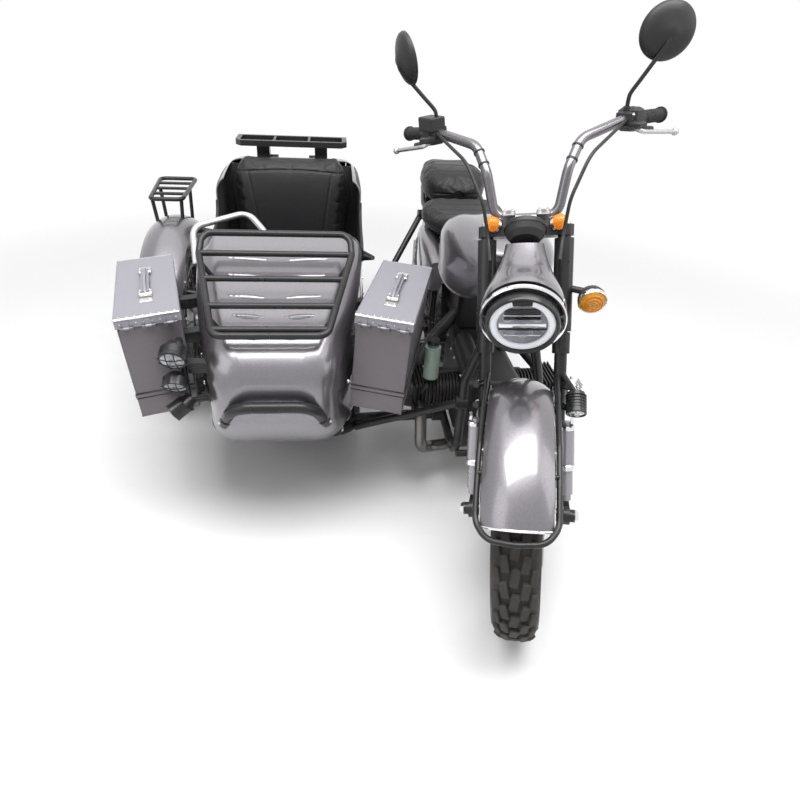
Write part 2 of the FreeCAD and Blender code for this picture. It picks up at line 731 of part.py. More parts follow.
def side_covers():
    panel = lofted([(-560, 22, 590, 700, 16, 18), (-400, 34, 560, 731, 24, 30),
                    (-220, 24, 590, 728, 16, 20)], x=150)
    return Part.makeCompound(both(panel))


def fluid_bottle():
    x, y, z = -200, -895, 425
    return fused([rod((x, y, z), (x, y, z + 116), 26), rod((x, y, z + 114), (x, y, z + 132), 14),
                  rod((x, y, z + 126), (x, y, z + 142), 20),
                  rod((x, y, z + 12), (x + 112, y + 20, z + 12), 7)])


def foot_pegs():
    peg = rod((118, -600, 268), (218, -600, 268), 11)
    drop = tube([(122, -600, 190), (122, -600, 276)], 9, 5)
    rear = rod((118, -400, 400), (190, -400, 400), 10)
    return Part.makeCompound(both(fused([peg, drop])) + both(rear))


# ------------------------------------------------------------------ sidecar
def sidecar_frame():
    ring = [(rail_x_in, -200, frame_z), (rail_x_in, -900, frame_z), (rail_x_out + 60, -900, frame_z),
            (rail_x_out, -850, frame_z), (rail_x_out, 230, frame_z), (rail_x_in, 230, frame_z),
            (rail_x_in, -202, frame_z)]
    pieces = [tube(ring, frame_tube, 80)]
    for y in (-640, -280):
        pieces.append(rod((rail_x_in, y, frame_z), (rail_x_out, y, frame_z), 17))
    for x in (rail_x_in + 30, rail_x_out - 30):
        for y in (-700, 100):
            side = -1 if x > sidecar_x else 1
            pieces.append(rod((x + side * 30, y, frame_z), (x + side * 90, y, tub_floor_z + 30), 12))
    return fused(pieces + strut_pieces())


def strut_pieces():
    """Four struts from the sidecar to the motorcycle, two low and two high."""
    rows = [((rail_x_in, -840, frame_z + 6), (-158, -850, 240), 20),
            ((rail_x_in, -400, frame_z), (-134, -430, 300), 18),
            ((rail_x_in - 10, -300, frame_z), (-128, 60, 690), 13),
            ((rail_x_in, -880, frame_z), (-128, -1046, 420), 13)]
    pieces = []
    for a, b, r in rows:
        pieces.append(rod(a, b, r))
        pieces.append(rod((b[0] - 14, b[1], b[2]), (b[0] + 22, b[1], b[2]), r + 8))
    return pieces


def sidecar_arm():
    axle_x = -track
    y, z = -wheel_lead, tyre_radius
    inner = axle_x + hub_half + 1
    axle = rod((axle_x - hub_half - 12, y, z), (inner + 50, y, z), axle_radius)
    collar = rod((inner, y, z), (inner + 24, y, z), 24)
    arm = tube([(inner + 34, y, z), (inner + 34, y - 240, frame_z)], 20, 30)
    pivot = rod((rail_x_out - frame_tube - 0.3, y - 240, frame_z), (inner + 50, y - 240, frame_z), 16)
    nut = rod((axle_x - hub_half - 14, y, z), (axle_x - hub_half - 1, y, z), 18)
    return fused([axle, collar, arm, pivot, nut])


def sidecar_shock():
    inner = -track + hub_half + 35
    return shock(V(inner, -wheel_lead - 50, 306), V(inner, -wheel_lead + 10, 640), 27)


tub_rows = [(-1212, 118, 470, 600, 50, 60), (-1190, 158, 415, 652, 60, 78),
            (-1120, 190, 335, 702, 80, 78), (-960, 230, 275, 762, 90, 78),
            (-760, 258, tub_floor_z, 838, 90, 74), (-400, 276, tub_floor_z, 884, 90, 62),
            (-100, 277, tub_floor_z, 916, 90, 60), (150, 268, 252, 902, 90, 72),
            (330, 236, 320, 820, 80, 86), (392, 190, 380, 740, 70, 84)]
trunk_front = 160.0
lid_gap = 3.0


def tub_outer():
    return lofted(tub_rows, x=sidecar_x)


def tub_inner():
    rows = [(y + (tub_wall if y < -1000 else -tub_wall if y > 300 else 0), half - tub_wall,
             low + tub_wall, high - tub_wall, r_low - tub_wall, r_high - tub_wall)
            for y, half, low, high, r_low, r_high in tub_rows]
    return lofted(rows, x=sidecar_x)


def cockpit_mouth():
    """Prism across the tub: the cockpit opening seen from the side."""
    wide = 400
    return prism([(sidecar_x - wide, -735, 1100), (sidecar_x - wide, -700, 800),
                  ((sidecar_x - wide, -640, 742), (sidecar_x - wide, -682, 756)),
                  (sidecar_x - wide, -330, 742),
                  ((sidecar_x - wide, -230, 830), (sidecar_x - wide, -262, 770)),
                  (sidecar_x - wide, -180, 1100)], (2 * wide, 0, 0))


def trunk_cutter(gap=0.0):
    x, y = sidecar_x - 230 + gap, trunk_front + gap
    return prism([(x, y, 1100), (x, y, 700), (x, 420, 560), (x, 420, 1100)], (460 - 2 * gap, 0, 0))


trunk_hinge = (160.0, 906.0)       # y and z of the pins
trunk_pin_radius = 2.0


def trunk_knuckle(x0, x1, y0, y1):
    """One hinge leaf and its barrel on the trunk's front edge; x0 and x1 are from the tub's middle."""
    barrel = rod((sidecar_x + x0, *trunk_hinge), (sidecar_x + x1, *trunk_hinge), 4.5)
    leaf = block(sidecar_x + x0, sidecar_x + x1, y0, y1, 892, 905.5)
    return fused([barrel, leaf])


def sidecar_tub():
    shell = tub_outer().cut(tub_inner())
    shell = shell.cut(cockpit_mouth())
    shell = shell.cut(trunk_cutter())
    wide = 300
    back = [(-70.0, 232), (-4.0, 905)]
    bulkhead = prism([(sidecar_x - wide, y, z) for y, z in back]
                     + [(sidecar_x - wide, y + tub_wall, z) for y, z in reversed(back)],
                     (2 * wide, 0, 0)).common(tub_inner())
    top = block(sidecar_x - 245, sidecar_x + 245, -240, 22, 820, 1100)
    spans = ((-134, -113), (-87, -66), (66, 87), (113, 134))
    leaves = [trunk_knuckle(a, b, 140, trunk_front) for a, b in spans]
    pins = [rod((sidecar_x + a, *trunk_hinge), (sidecar_x + a + 50, *trunk_hinge), trunk_pin_radius)
            for a in (-125, 75)]
    return fused([shell.cut(top), bulkhead] + leaves + pins)


def trunk_lid():
    skin = tub_outer().cut(tub_inner())
    panel = max(skin.common(trunk_cutter(lid_gap)).Solids, key=lambda s: s.Volume)
    leaves = [trunk_knuckle(a, a + 25, 161, 180) for a in (-112.5, 87.5)]
    bore = rod((sidecar_x - 200, *trunk_hinge), (sidecar_x + 200, *trunk_hinge),
               trunk_pin_radius + running_clearance)
    return fused([panel] + leaves).cut(bore)


def sidecar_seat():
    return lofted([(-470, 190, 242, 372, 26, 34), (-300, 222, 242, 388, 28, 36),
                   (-180, 222, 242, 386, 28, 36), (-96, 214, 243, 380, 26, 34)], x=sidecar_x)


def sidecar_backrest():
    rows = [(390, -118, 222, 62), (560, -104, 232, 64), (760, -82, 238, 62), (900, -62, 230, 54),
            (952, -52, 196, 42)]
    wires = []
    for z, y, half, deep in rows:
        r = deep * 0.6
        k = 1 - math.sqrt(0.5)
        a, b, c, d = sidecar_x - half, sidecar_x + half, y - deep, y + deep
        wires.append(outline([(a + r, c, z), (b - r, c, z), ((b, c + r, z), (b - k * r, c + k * r, z)),
                              (b, d - r, z), ((b - r, d, z), (b - k * r, d - k * r, z)), (a + r, d, z),
                              ((a, d - r, z), (a + k * r, d - k * r, z)), (a, c + r, z)]
                             + [((a + r, c, z), (a + k * r, c + k * r, z))]))
    return Part.makeLoft(wires, True, False)


def nose_rack():
    wide, narrow = 222.0, 150.0
    back, front = (-876.0, 842.0), (-1173.0, 728.0)
    fence = (-819.0, 884.0)

    def at(share, half=None):
        y = back[0] + (front[0] - back[0]) * share
        z = back[1] + (front[1] - back[1]) * share
        return (sidecar_x + (wide + (narrow - wide) * share if half is None else half), y, z)
    right = [at(1), at(0), (sidecar_x + wide - 4, *fence)]
    left = [(2 * sidecar_x - p[0], p[1], p[2]) for p in reversed(right)]
    hoop = tube([(sidecar_x, *front)] + right + left + [(sidecar_x - 1, *front)], rack_tube, 34)
    bars = [rod(at(s), (2 * sidecar_x - at(s)[0], *at(s)[1:]), rack_tube - 1)
            for s in (0, 0.33, 0.66, 0.93)]
    feet = []
    for share, drop in ((0.12, 60), (0.8, 60)):
        x, y, z = at(share)
        feet += [rod((x, y, z), (x - 34, y + 12, z - drop), 7),
                 rod((2 * sidecar_x - x, y, z), (2 * sidecar_x - x + 34, y + 12, z - drop), 7)]
    return fused([hoop] + bars + feet)


def grab_rail():
    rail = tube([(-950, -780, 770), (-958, -720, 868), (-800, -620, 886), (-742, -690, 846),
                 (-742, -740, 800)], 10, 40)
    return rail


def front_bumper():
    side = [(-172, -880, 212), (-172, -1000, 262), (-168, -1130, 380), (-108, -1240, 545)]
    points = side + [(-x, y, z) for x, y, z in reversed(side)]
    return tube([(sidecar_x + x, y, z) for x, y, z in points], bumper_tube, 70)


def sidecar_fender():
    return fender((-track, -wheel_lead, tyre_radius + 30), 80, 400, -98, 66, 76)


def fender_rack():
    """Small carrier over the sidecar fender; its corners are x, y at one height."""
    z = 820.0
    corners = [(-1213, -250), (-1247, 65), (-1102, 65), (-1094, -250)]
    hoop = tube([(-1150, -250, z)] + [(x, y, z) for x, y in corners] + [(-1149, -250, z)], 8, 24)
    pieces = [hoop]
    for share in (0.25, 0.5, 0.75):
        y = -250 + 315 * share
        pieces.append(rod((-1213 - 34 * share, y, z), (-1094 - 8 * share, y, z), 6))
    for x, y, depth in ((-1208, -240, 90), (-1100, -240, 90), (-1216, -80, 150), (-1100, -80, 150)):
        pieces.append(rod((x, y, z), (x - 6 if x > -1150 else x + 8, y, z - depth), 7))
    return fused(pieces)


def fender_stay():
    """Bearers from the tub's flank to the sidecar fender."""
    pieces = []
    for y, z in ((-520, 540), (-120, 640)):
        pieces.append(rod((sidecar_x - 250, y, z), (-track + 78, y, z + 20), 11))
    shock_y, shock_z = -wheel_lead + 8, 630
    pieces.append(rod((sidecar_x - 250, shock_y, shock_z), (-track + hub_half + 22, shock_y, shock_z), 12))
    cut = [p.cut(tub_outer()).cut(sidecar_fender()) for p in pieces]
    return [max(p.Solids, key=lambda s: s.Volume) for p in cut]


tray_hole_radius = 3.3


def carrier_tray():
    """Winged luggage carrier behind the seat: a pressed tray with three bays on two brackets."""
    x, y0, y1, z0, z1 = sidecar_x, 20, 150, 968, 990
    tray = prism([(x - 228, y0 + 30, z0), (x - 205, y0, z0), (x + 205, y0, z0), (x + 228, y0 + 30, z0),
                  (x + 228, y1, z0), (x - 228, y1, z0)], (0, 0, z1 - z0))
    bays = [block(x + a, x + b, y0 + 18, y1 - 16, z0 + 5, z1 + 4)
            for a, b in ((-208, -76), (-66, 66), (76, 208))]
    feet = [block(x + s * 120 - 26, x + s * 120 + 26, 60, 110, 880, z0 + 1) for s in (-1, 1)]
    holes = [rod((x + s * 120, y, z0 - 1), (x + s * 120, y, z1 + 1), tray_hole_radius)
             for s in (-1, 1) for y in (29, 142)]
    return fused([tray.cut(Part.makeCompound(bays))] + feet).cut(fused(holes))


def lamp_stand():
    pieces = [block(-922, -868, -1150, -1122, 600, 632), rod((-936, -1136, 470), (-936, -1136, 700), 9),
              rod((-936, -1136, 500), (-870, -1120, 500), 8)]
    return fused(pieces).cut(tub_outer())


def driving_lamps():
    """Two round work lamps and one spot lamp; columns: centre, direction, radius, length."""
    rows = [((-942, -1150, 690), (-0.05, -0.9, -0.42), 36, 52),
            ((-952, -1150, 600), (-0.05, -0.8, -0.6), 34, 40),
            ((-925, -1140, 512), (-0.75, -0.5, -0.43), 26, 66)]
    lamps = []
    for centre, direction, r, length in rows:
        lamps.append(turned([(0, 0), (0, r * 0.6), (length * 0.4, r), (length, r), (length, 0)],
                            centre, direction))
    return Part.makeCompound([lamp.cut(lamp_stand()) for lamp in lamps])


def sidecar_lights():
    profile = [(0, 0), (0, 26), (14, 26), (24, 16), (26, 0)]
    return [turned(profile, (sidecar_x + s * 140, 386, 470), (0, 1, 0)) for s in (-1, 1)]


def rear_lamps():
    return Part.makeCompound(tail_lamp() + sidecar_lights())


# ------------------------------------------------------------------ steel boxes
box_rows = {
    "inner": (1, (-466.0, -1092.0, 752.0)),
    "outer": (-1, (-930.0, -1108.0, 768.0)),
}


def box_place(name, shape):
    side, corner = box_rows[name]
    turn = FreeCAD.Rotation(V(0, 0, 1), -side * box_toe)
    lean = FreeCAD.Rotation(V(0, 1, 0), side * box_lean)
    shape = shape.copy()
    shape.Placement = FreeCAD.Placement(V(*corner), turn * lean)
    return shape


def box_span(name, x0, x1, y0, y1, z0, z1, rounding=0.0):
    """Block in a box's own frame: x outward from the tub, y rearward, z up from the lid's top."""
    side = box_rows[name][0]
    if side < 0:
        x0, x1 = -x1, -x0
    return block(x0, x1, y0, y1, z0, z1, rounding)


inset = box_sheet + lid_clearance
knuckle_radius = 3.6
knuckle_y = -4.0          # hinge axis ahead of the lid's front face
hinge_middles = (28.0, 82.5, 137.0)


def box_rod(name, x0, x1, radius):
    """Round bar on a box's hinge axis."""
    side = box_rows[name][0]
    return rod((side * x0, knuckle_y, -lid_skirt), (side * x1, knuckle_y, -lid_skirt), radius)


def steel_box(name):
    body = box_span(name, inset, box_width - inset, inset, box_length - inset, -box_height,
                    -box_sheet - 1)
    hollow = box_span(name, inset + box_sheet, box_width - inset - box_sheet, inset + box_sheet,
                      box_length - inset - box_sheet, -box_height + box_sheet, 10)
    band = box_span(name, inset - 3, box_width - inset + 3, inset - 3, box_length - inset + 3,
                    -box_height + 66, -box_height + 74)
    pieces = [body, band]
    for middle in hinge_middles:
        pieces.append(box_rod(name, middle - 16, middle + 16, 1.5))
        for a in (middle - 17, middle + 8):
            pieces.append(box_rod(name, a, a + 9, knuckle_radius))
            pieces.append(box_span(name, a, a + 9, -4.5, inset + 0.5, -lid_skirt - 12, -lid_skirt - 2))
    return box_place(name, fused(pieces).cut(hollow))


def box_lid(name):
    cap = box_span(name, 0, box_width, 0, box_length, -lid_skirt, 0)
    hollow = box_span(name, box_sheet, box_width - box_sheet, box_sheet, box_length - box_sheet,
                      -lid_skirt - 1, -box_sheet)
    middle = box_width / 2
    handle = [box_span(name, middle - 11, middle + 11, 130, 300, 10, 14),
              box_span(name, middle - 15, middle + 15, 120, 150, 0, 10),
              box_span(name, middle - 15, middle + 15, 280, 310, 0, 10)]
    leaves = []
    for middle in hinge_middles:
        barrel = box_rod(name, middle - 7.5, middle + 7.5, knuckle_radius)
        leaf = box_span(name, middle - 7.5, middle + 7.5, -3, 0.5, -lid_skirt + 1, -6)
        leaves.append(fused([barrel, leaf]))
    bore = box_rod(name, 2, box_width - 2, 1.5 + running_clearance)
    return box_place(name, fused([cap.cut(hollow)] + handle + leaves).cut(bore))


def box_bearers():
    """Brackets between the tub's flanks and the two steel boxes."""
    pieces = []
    for name in box_rows:
        side, corner = box_rows[name]
        for y, z in ((70, -120), (300, -120)):
            bar = box_span(name, -80, inset - 0.3, y, y + 34, z - 16, z + 16)
            pieces.append(box_place(name, bar).cut(tub_outer()))
    return [max(p.Solids, key=lambda s: s.Volume) for p in pieces]


def sidecar_brackets():
    return Part.makeCompound(box_bearers() + fender_stay() + lamp_stand().Solids)


# ------------------------------------------------------------------ nodes
chassis = {
    "bike_frame": bike_frame, "engine_block": engine_block, "cylinders": cylinders,
    "intake": intake, "exhaust": exhaust, "swingarm": swingarm, "final_drive": final_drive,
    "suspension_units": suspension_units, "fuel_tank": fuel_tank, "rider_saddle": rider_saddle,
    "pillion_seat": pillion_seat, "rear_fender": rear_fender, "rear_lamps": rear_lamps,
    "side_covers": side_covers, "fluid_bottle": fluid_bottle, "foot_pegs": foot_pegs,
    "sidecar_frame": sidecar_frame, "sidecar_arm": sidecar_arm, "sidecar_tub": sidecar_tub,
    "sidecar_seat": sidecar_seat, "sidecar_backrest": sidecar_backrest, "nose_rack": nose_rack,
    "grab_rail": grab_rail, "front_bumper": front_bumper, "sidecar_fender": sidecar_fender,
    "fender_rack": fender_rack, "carrier_tray": carrier_tray, "driving_lamps": driving_lamps,
    "sidecar_brackets": sidecar_brackets,
}
steered = {
    "fork": fork, "fork_covers": fork_covers, "leading_links": leading_links,
    "front_shocks": front_shocks, "headlight_nacelle": headlight_nacelle, "headlight": headlight,
    "instrument_pod": instrument_pod, "handlebar": handlebar, "hand_controls": hand_controls,
    "mirrors": mirrors, "front_fender": front_fender, "fender_guard": fender_guard,
    "indicator_lamps": indicator_lamps, "auxiliary_lamp": auxiliary_lamp,
    "brake_caliper": brake_caliper, "control_cables": control_cables,
}


# Each piece is trimmed back to the faces of the pieces that carry it.
trimmed_by = {
    "fuel_tank": ["bike_frame"], "rider_saddle": ["bike_frame"], "pillion_seat": ["bike_frame"],
    "swingarm": ["bike_frame"], "final_drive": ["swingarm"], "side_covers": ["bike_frame"],
    "suspension_units": ["bike_frame", "swingarm", "final_drive", "sidecar_arm", "sidecar_brackets"],
    "exhaust": ["cylinders", "bike_frame"], "intake": ["cylinders", "bike_frame", "engine_block"],
    "cylinders": ["engine_block"], "foot_pegs": ["bike_frame"], "rear_fender": ["bike_frame"],
    "sidecar_frame": ["bike_frame", "cylinders", "swingarm", "sidecar_tub", "engine_block", "exhaust"],
    "sidecar_arm": ["sidecar_frame"], "sidecar_seat": ["sidecar_tub"],
    "rear_lamps": ["sidecar_tub", "rear_fender"],
    "nose_rack": ["sidecar_tub"], "grab_rail": ["sidecar_tub"],
    "front_bumper": ["sidecar_tub", "sidecar_frame"], "fender_rack": ["sidecar_fender"],
    "carrier_tray": ["sidecar_tub"], "fluid_bottle": ["intake", "engine_block", "cylinders"],
    "front_shocks": ["fork", "leading_links"], "front_fender": ["fork"], "fork_covers": ["fork"],
    "fender_guard": ["fork", "front_fender"], "instrument_pod": ["fork", "headlight_nacelle"],
    "headlight": ["headlight_nacelle"], "handlebar": ["fork"], "hand_controls": ["handlebar"],
    "mirrors": ["hand_controls", "handlebar"], "indicator_lamps": ["fork", "fork_covers", "handlebar"],
    "auxiliary_lamp": ["fork", "front_shocks", "fender_guard"],
    "brake_caliper": ["fork", "leading_links"],
    "control_cables": ["handlebar", "hand_controls", "headlight_nacelle", "fork", "fork_covers"],
}
split_by_trim = {"swingarm": 2}


def trim(name, shape, carriers):
    """Cut the carriers out of a shape and drop what is left inside them."""
    box = shape.optimalBoundingBox(False, False)
    near = [c for c in carriers if c.optimalBoundingBox(False, False).intersect(box)]
    near = [s for c in near for s in c.Solids if s.BoundBox.intersect(box)]
    if not near:
        return shape
    count = split_by_trim.get(name, len(shape.Solids))
    kept = sorted(shape.cut(near).Solids, key=lambda s: -s.Volume)[:count]
    return kept[0] if len(kept) == 1 else Part.makeCompound(kept)


def whole_machine():
    """Every node's shape, drawn from the rear axle and then moved onto the middle of its outline."""
    shapes = {name: make() for name, make in chassis.items()}
    front = {name: make() for name, make in steered.items()}
    for name, carriers in trimmed_by.items():
        group = shapes if name in shapes else front
        group[name] = trim(name, group[name], [group[c] for c in carriers])
    shapes.update({name: park(shape) for name, shape in front.items()})
    shapes["front_tyre"] = park(tyre(front_axle))
    shapes["front_wheel"] = park(wheel(front_axle))
    for name, centre, side in (("rear", (0, 0, tyre_radius), 1),
                               ("sidecar", (-track, -wheel_lead, tyre_radius), -1)):
        shapes[name + "_tyre"] = tyre(centre)
        shapes[name + "_wheel"] = wheel(centre, side)
    for name in box_rows:
        shapes[name + "_box"] = steel_box(name)
        shapes[name + "_box_lid"] = box_lid(name)
    shapes["trunk_lid"] = trunk_lid()
    return shapes


shapes = whole_machine()
boxes = [shape.optimalBoundingBox(False, False) for shape in shapes.values()]
middle = V(-(min(b.XMin for b in boxes) + max(b.XMax for b in boxes)) / 2,
           -(min(b.YMin for b in boxes) + max(b.YMax for b in boxes)) / 2, 0)
for name, shape in shapes.items():
    shape.translate(middle)
    shape.exportStep("parts/" + name + ".step")
print("moved by", [round(c, 3) for c in middle], "lift", round(parked_lift, 4))
print("nodes", len(shapes), {name: len(shape.Solids) for name, shape in shapes.items()})
print("invalid", [name for name, shape in shapes.items() if not shape.isValid()])
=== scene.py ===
"""Looks of a sidecar motorcycle: paint, leather, rubber, lamps and fastenings on its CAD frame.

Lengths in calls are millimetres from the rear axle's middle (x to the rider's left, -y forward,
z up from the ground), the machine's own measures; they become metres where a mesh is made.
"""
import json
import math

import bmesh
import bpy
from mathutils import Matrix, Quaternion, Vector
from mathutils.bvhtree import BVHTree


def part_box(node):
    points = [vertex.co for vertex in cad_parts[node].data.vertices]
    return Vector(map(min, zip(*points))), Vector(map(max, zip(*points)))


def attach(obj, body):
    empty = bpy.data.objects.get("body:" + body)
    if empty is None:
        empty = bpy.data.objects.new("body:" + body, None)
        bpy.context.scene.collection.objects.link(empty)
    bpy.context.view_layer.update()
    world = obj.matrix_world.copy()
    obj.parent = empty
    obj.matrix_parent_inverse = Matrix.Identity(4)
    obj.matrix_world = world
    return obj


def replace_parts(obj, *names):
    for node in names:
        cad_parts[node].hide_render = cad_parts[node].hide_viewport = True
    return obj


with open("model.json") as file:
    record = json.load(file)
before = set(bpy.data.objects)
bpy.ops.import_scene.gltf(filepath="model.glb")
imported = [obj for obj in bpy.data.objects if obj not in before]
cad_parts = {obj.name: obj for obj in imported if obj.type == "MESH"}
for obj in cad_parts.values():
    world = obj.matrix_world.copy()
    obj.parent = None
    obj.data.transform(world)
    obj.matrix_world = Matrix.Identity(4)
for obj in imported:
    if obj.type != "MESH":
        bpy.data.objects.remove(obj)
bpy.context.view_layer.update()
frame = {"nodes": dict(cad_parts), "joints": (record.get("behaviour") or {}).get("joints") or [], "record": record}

MM = 0.001
nodes = frame["nodes"]


# ------------------------------------------------------------------ places on the machine
low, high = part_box("rear_tyre")
rear_axle = (low + high) / 2
steering = next(joint for joint in frame["joints"] if joint["name"] == "steering")
steer_foot = Vector(steering["pos_m"])
parked_turn = Quaternion(Vector(steering["axis"]).normalized(), math.radians(-19))
parked_lift = Vector((0, 0, -0.914 * MM))
wheelbase = 1435.0
tyre_radius = 325.0
sidecar_x = -692.0
sky = 1400.0                # height above every piece, from which lines are dropped
front_axle = (0, -wheelbase, tyre_radius)
sidecar_axle = (-1140.0, -280.0, tyre_radius)


def way(x, y, z):
    return Vector((x, y, z))


def unit(x, y, z):
    return Vector((x, y, z)).normalized()


left, down, top = way(1, 0, 0), way(0, 0, -1), way(0, 0, 1)


def machine(x, y, z):
    """Point of the chassis in the frame."""
    return way(rear_axle.x + x * MM, rear_axle.y + y * MM, z * MM)


def measured(spot):
    """A point of the frame in the machine's own millimetres."""
    return way((spot.x - rear_axle.x) / MM, (spot.y - rear_axle.y) / MM, spot.z / MM)


def parked(x, y, z):
    """Point of the front end, given straight ahead, where it stands parked."""
    return steer_foot + parked_turn @ (machine(x, y, z) + parked_lift - steer_foot)


# ------------------------------------------------------------------ shader groups
def feed(tree, socket, value):
    """Set a socket, or link it when the value is another socket."""
    if isinstance(value, bpy.types.NodeSocket):
        tree.links.new(value, socket)
    else:
        socket.default_value = value


def add(tree, kind, *inputs, **named):
    """New node with its inputs fed in order or by name."""
    node = tree.nodes.new("ShaderNode" + kind)
    for index, value in enumerate(inputs):
        feed(tree, node.inputs[index], value)
    for label, value in named.items():
        feed(tree, node.inputs[label], value)
    return node


def new_group(name, inputs, outputs):
    """Group with its sockets: a number stands for a value, four of them for a colour."""
    group = bpy.data.node_groups.new(name, "ShaderNodeTree")
    for label, value in inputs.items():
        kind = "NodeSocketColor" if isinstance(value, tuple) else "NodeSocketFloat"
        group.interface.new_socket(label, in_out="INPUT", socket_type=kind).default_value = value
    for label in outputs:
        kind = "NodeSocketColor" if label == "Color" else "NodeSocketFloat"
        group.interface.new_socket(label, in_out="OUTPUT", socket_type=kind)
    return group, group.nodes.new("NodeGroupInput").outputs, group.nodes.new("NodeGroupOutput").inputs


def maths(tree, operation, *inputs, clamp=False):
    node = add(tree, "Math", *inputs)
    node.operation = operation
    node.use_clamp = clamp
    return node.outputs[0]


def noise(tree, place, scale, detail=3.0, roughness=0.5):
    return add(tree, "TexNoise", Vector=place, Scale=scale, Detail=detail, Roughness=roughness).outputs["Fac"]


def spread(tree, value, low, high, to_low=0.0, to_high=1.0):
    node = add(tree, "MapRange", value, low, high, to_low, to_high)
    node.clamp = True
    return node.outputs[0]


def mixed(tree, mask, a, b):
    node = tree.nodes.new("ShaderNodeMix")
    node.data_type = "RGBA"
    for label, value in (("Factor", mask), ("A", a), ("B", b)):
        feed(tree, node.inputs[label], value)
    return node.outputs["Result"]


def place_in(tree):
    return add(tree, "TexCoord").outputs["Object"]


def parts_of(tree, vector, kind="SeparateXYZ"):
    return add(tree, kind, vector).outputs


def dust_group():
    """Road dust: thickest near the ground and on faces that look up, broken by noise."""
    group, inward, outward = new_group("road_dust", {"Reach": 0.45, "Amount": 0.5}, ["Mask"])
    geometry = add(group, "NewGeometry").outputs
    height = maths(group, "DIVIDE", parts_of(group, geometry["Position"])["Z"], inward["Reach"])
    low = maths(group, "SUBTRACT", 1.0, height, clamp=True)
    up = spread(group, parts_of(group, geometry["Normal"])["Z"], -0.2, 1.0, 0.35, 1.0)
    patches = spread(group, noise(group, place_in(group), 11.0, 6.0, 0.62), 0.36, 0.68)
    mask = maths(group, "MULTIPLY", maths(group, "MULTIPLY", low, up), patches)
    feed(group, outward["Mask"], maths(group, "MULTIPLY", mask, inward["Amount"], clamp=True))
    return group


def grain_group():
    """Fine surface unevenness: a height for bump and a broad mottle for roughness."""
    group, inward, outward = new_group("surface_grain", {"Scale": 300.0, "Strength": 1.0},
                                       ["Height", "Mottle"])
    place = place_in(group)
    fine = noise(group, place, inward["Scale"], 2.0, 0.55)
    feed(group, outward["Height"], maths(group, "MULTIPLY", fine, inward["Strength"]))
    feed(group, outward["Mottle"], noise(group, place, 7.0, 4.0, 0.55))
    return group


def flake_group():
    """Metallic flake: tiny cells of light and dark for paint."""
    group, inward, outward = new_group(
        "metal_flake", {"Dark": (0.2, 0.2, 0.2, 1), "Light": (0.5, 0.5, 0.5, 1), "Size": 900.0}, ["Color"])
    cells = add(group, "TexVoronoi", Vector=place_in(group), Scale=inward["Size"])
    mask = spread(group, parts_of(group, cells.outputs["Color"], "SeparateColor")[0], 0.1, 0.95)
    feed(group, outward["Color"], mixed(group, mask, inward["Dark"], inward["Light"]))
    return group


def hide_group():
    """Leather: pebbled cells with creases between them, and a mask for painted shade in the creases."""
    group, inward, outward = new_group("leather_grain", {"Scale": 260.0}, ["Height", "CreaseShade"])
    place = place_in(group)
    wobble = add(group, "TexNoise", Vector=place, Scale=60.0).outputs["Color"]
    warp = add(group, "VectorMath", wobble, (0.004, 0.004, 0.004), place)
    warp.operation = "MULTIPLY_ADD"
    cells = add(group, "TexVoronoi", Vector=warp.outputs[0], Scale=inward["Scale"])
    cells.feature = "DISTANCE_TO_EDGE"
    edge = spread(group, cells.outputs["Distance"], 0.0, 0.16)
    folds = spread(group, noise(group, place, 24.0, 4.0, 0.6), 0.3, 0.75)
    feed(group, outward["Height"], maths(group, "MULTIPLY_ADD", folds, 0.7, edge))
    # the crease mask carries painted shade: it darkens the leather's colour in the creases
    feed(group, outward["CreaseShade"], edge)
    return group


road_dust, surface_grain = dust_group(), grain_group()
metal_flake, leather_grain = flake_group(), hide_group()
dust_colour = (0.30, 0.25, 0.19, 1)


# ------------------------------------------------------------------ materials
def use(tree, group, **values):
    node = tree.nodes.new("ShaderNodeGroup")
    node.node_tree = group
    for label, value in values.items():
        node.inputs[label].default_value = value
    return node.outputs


def start_material(name, **values):
    """New material with its shader's constants; a label's spaces are written as underscores."""
    material = bpy.data.materials.new(name)
    material.use_nodes = True
    shader = material.node_tree.nodes["Principled BSDF"].inputs
    for label, value in values.items():
        shader[label.replace("_", " ")].default_value = value
    return material, material.node_tree, shader


def bump(tree, shader, height, strength, distance):
    node = add(tree, "Bump", Strength=strength, Distance=distance, Height=height)
    feed(tree, shader["Normal"], node.outputs["Normal"])


def solid_finish(name, colour, roughness, metallic=0.0, grain=400.0, grain_height=0.25, dust=0.35,
                 reach=0.5, coat=0.0, variation=0.12, rough_spread=0.12, gloss=0.5):
    """Paint, plastic, rubber or metal of one colour with grain, mottling and road dust."""
    material, tree, shader = start_material(name, Metallic=metallic, Specular_IOR_Level=gloss,
                                            Coat_Weight=coat, Coat_Roughness=0.06)
    skin = use(tree, surface_grain, Scale=grain, Strength=1.0)
    lighter = (*(min(1.0, c * (1 + variation) + 0.15 * variation) for c in colour), 1)
    base = mixed(tree, skin["Mottle"], (*colour, 1), lighter)
    dirt = use(tree, road_dust, Reach=reach, Amount=dust)["Mask"]
    feed(tree, shader["Base Color"], mixed(tree, dirt, base, dust_colour))
    half = rough_spread / 2
    worn = spread(tree, skin["Mottle"], 0.3, 0.7, roughness - half, roughness + half)
    feed(tree, shader["Roughness"], maths(tree, "MULTIPLY_ADD", dirt, 0.4, worn, clamp=True))
    bump(tree, shader, skin["Height"], grain_height, 0.0004)
    return material


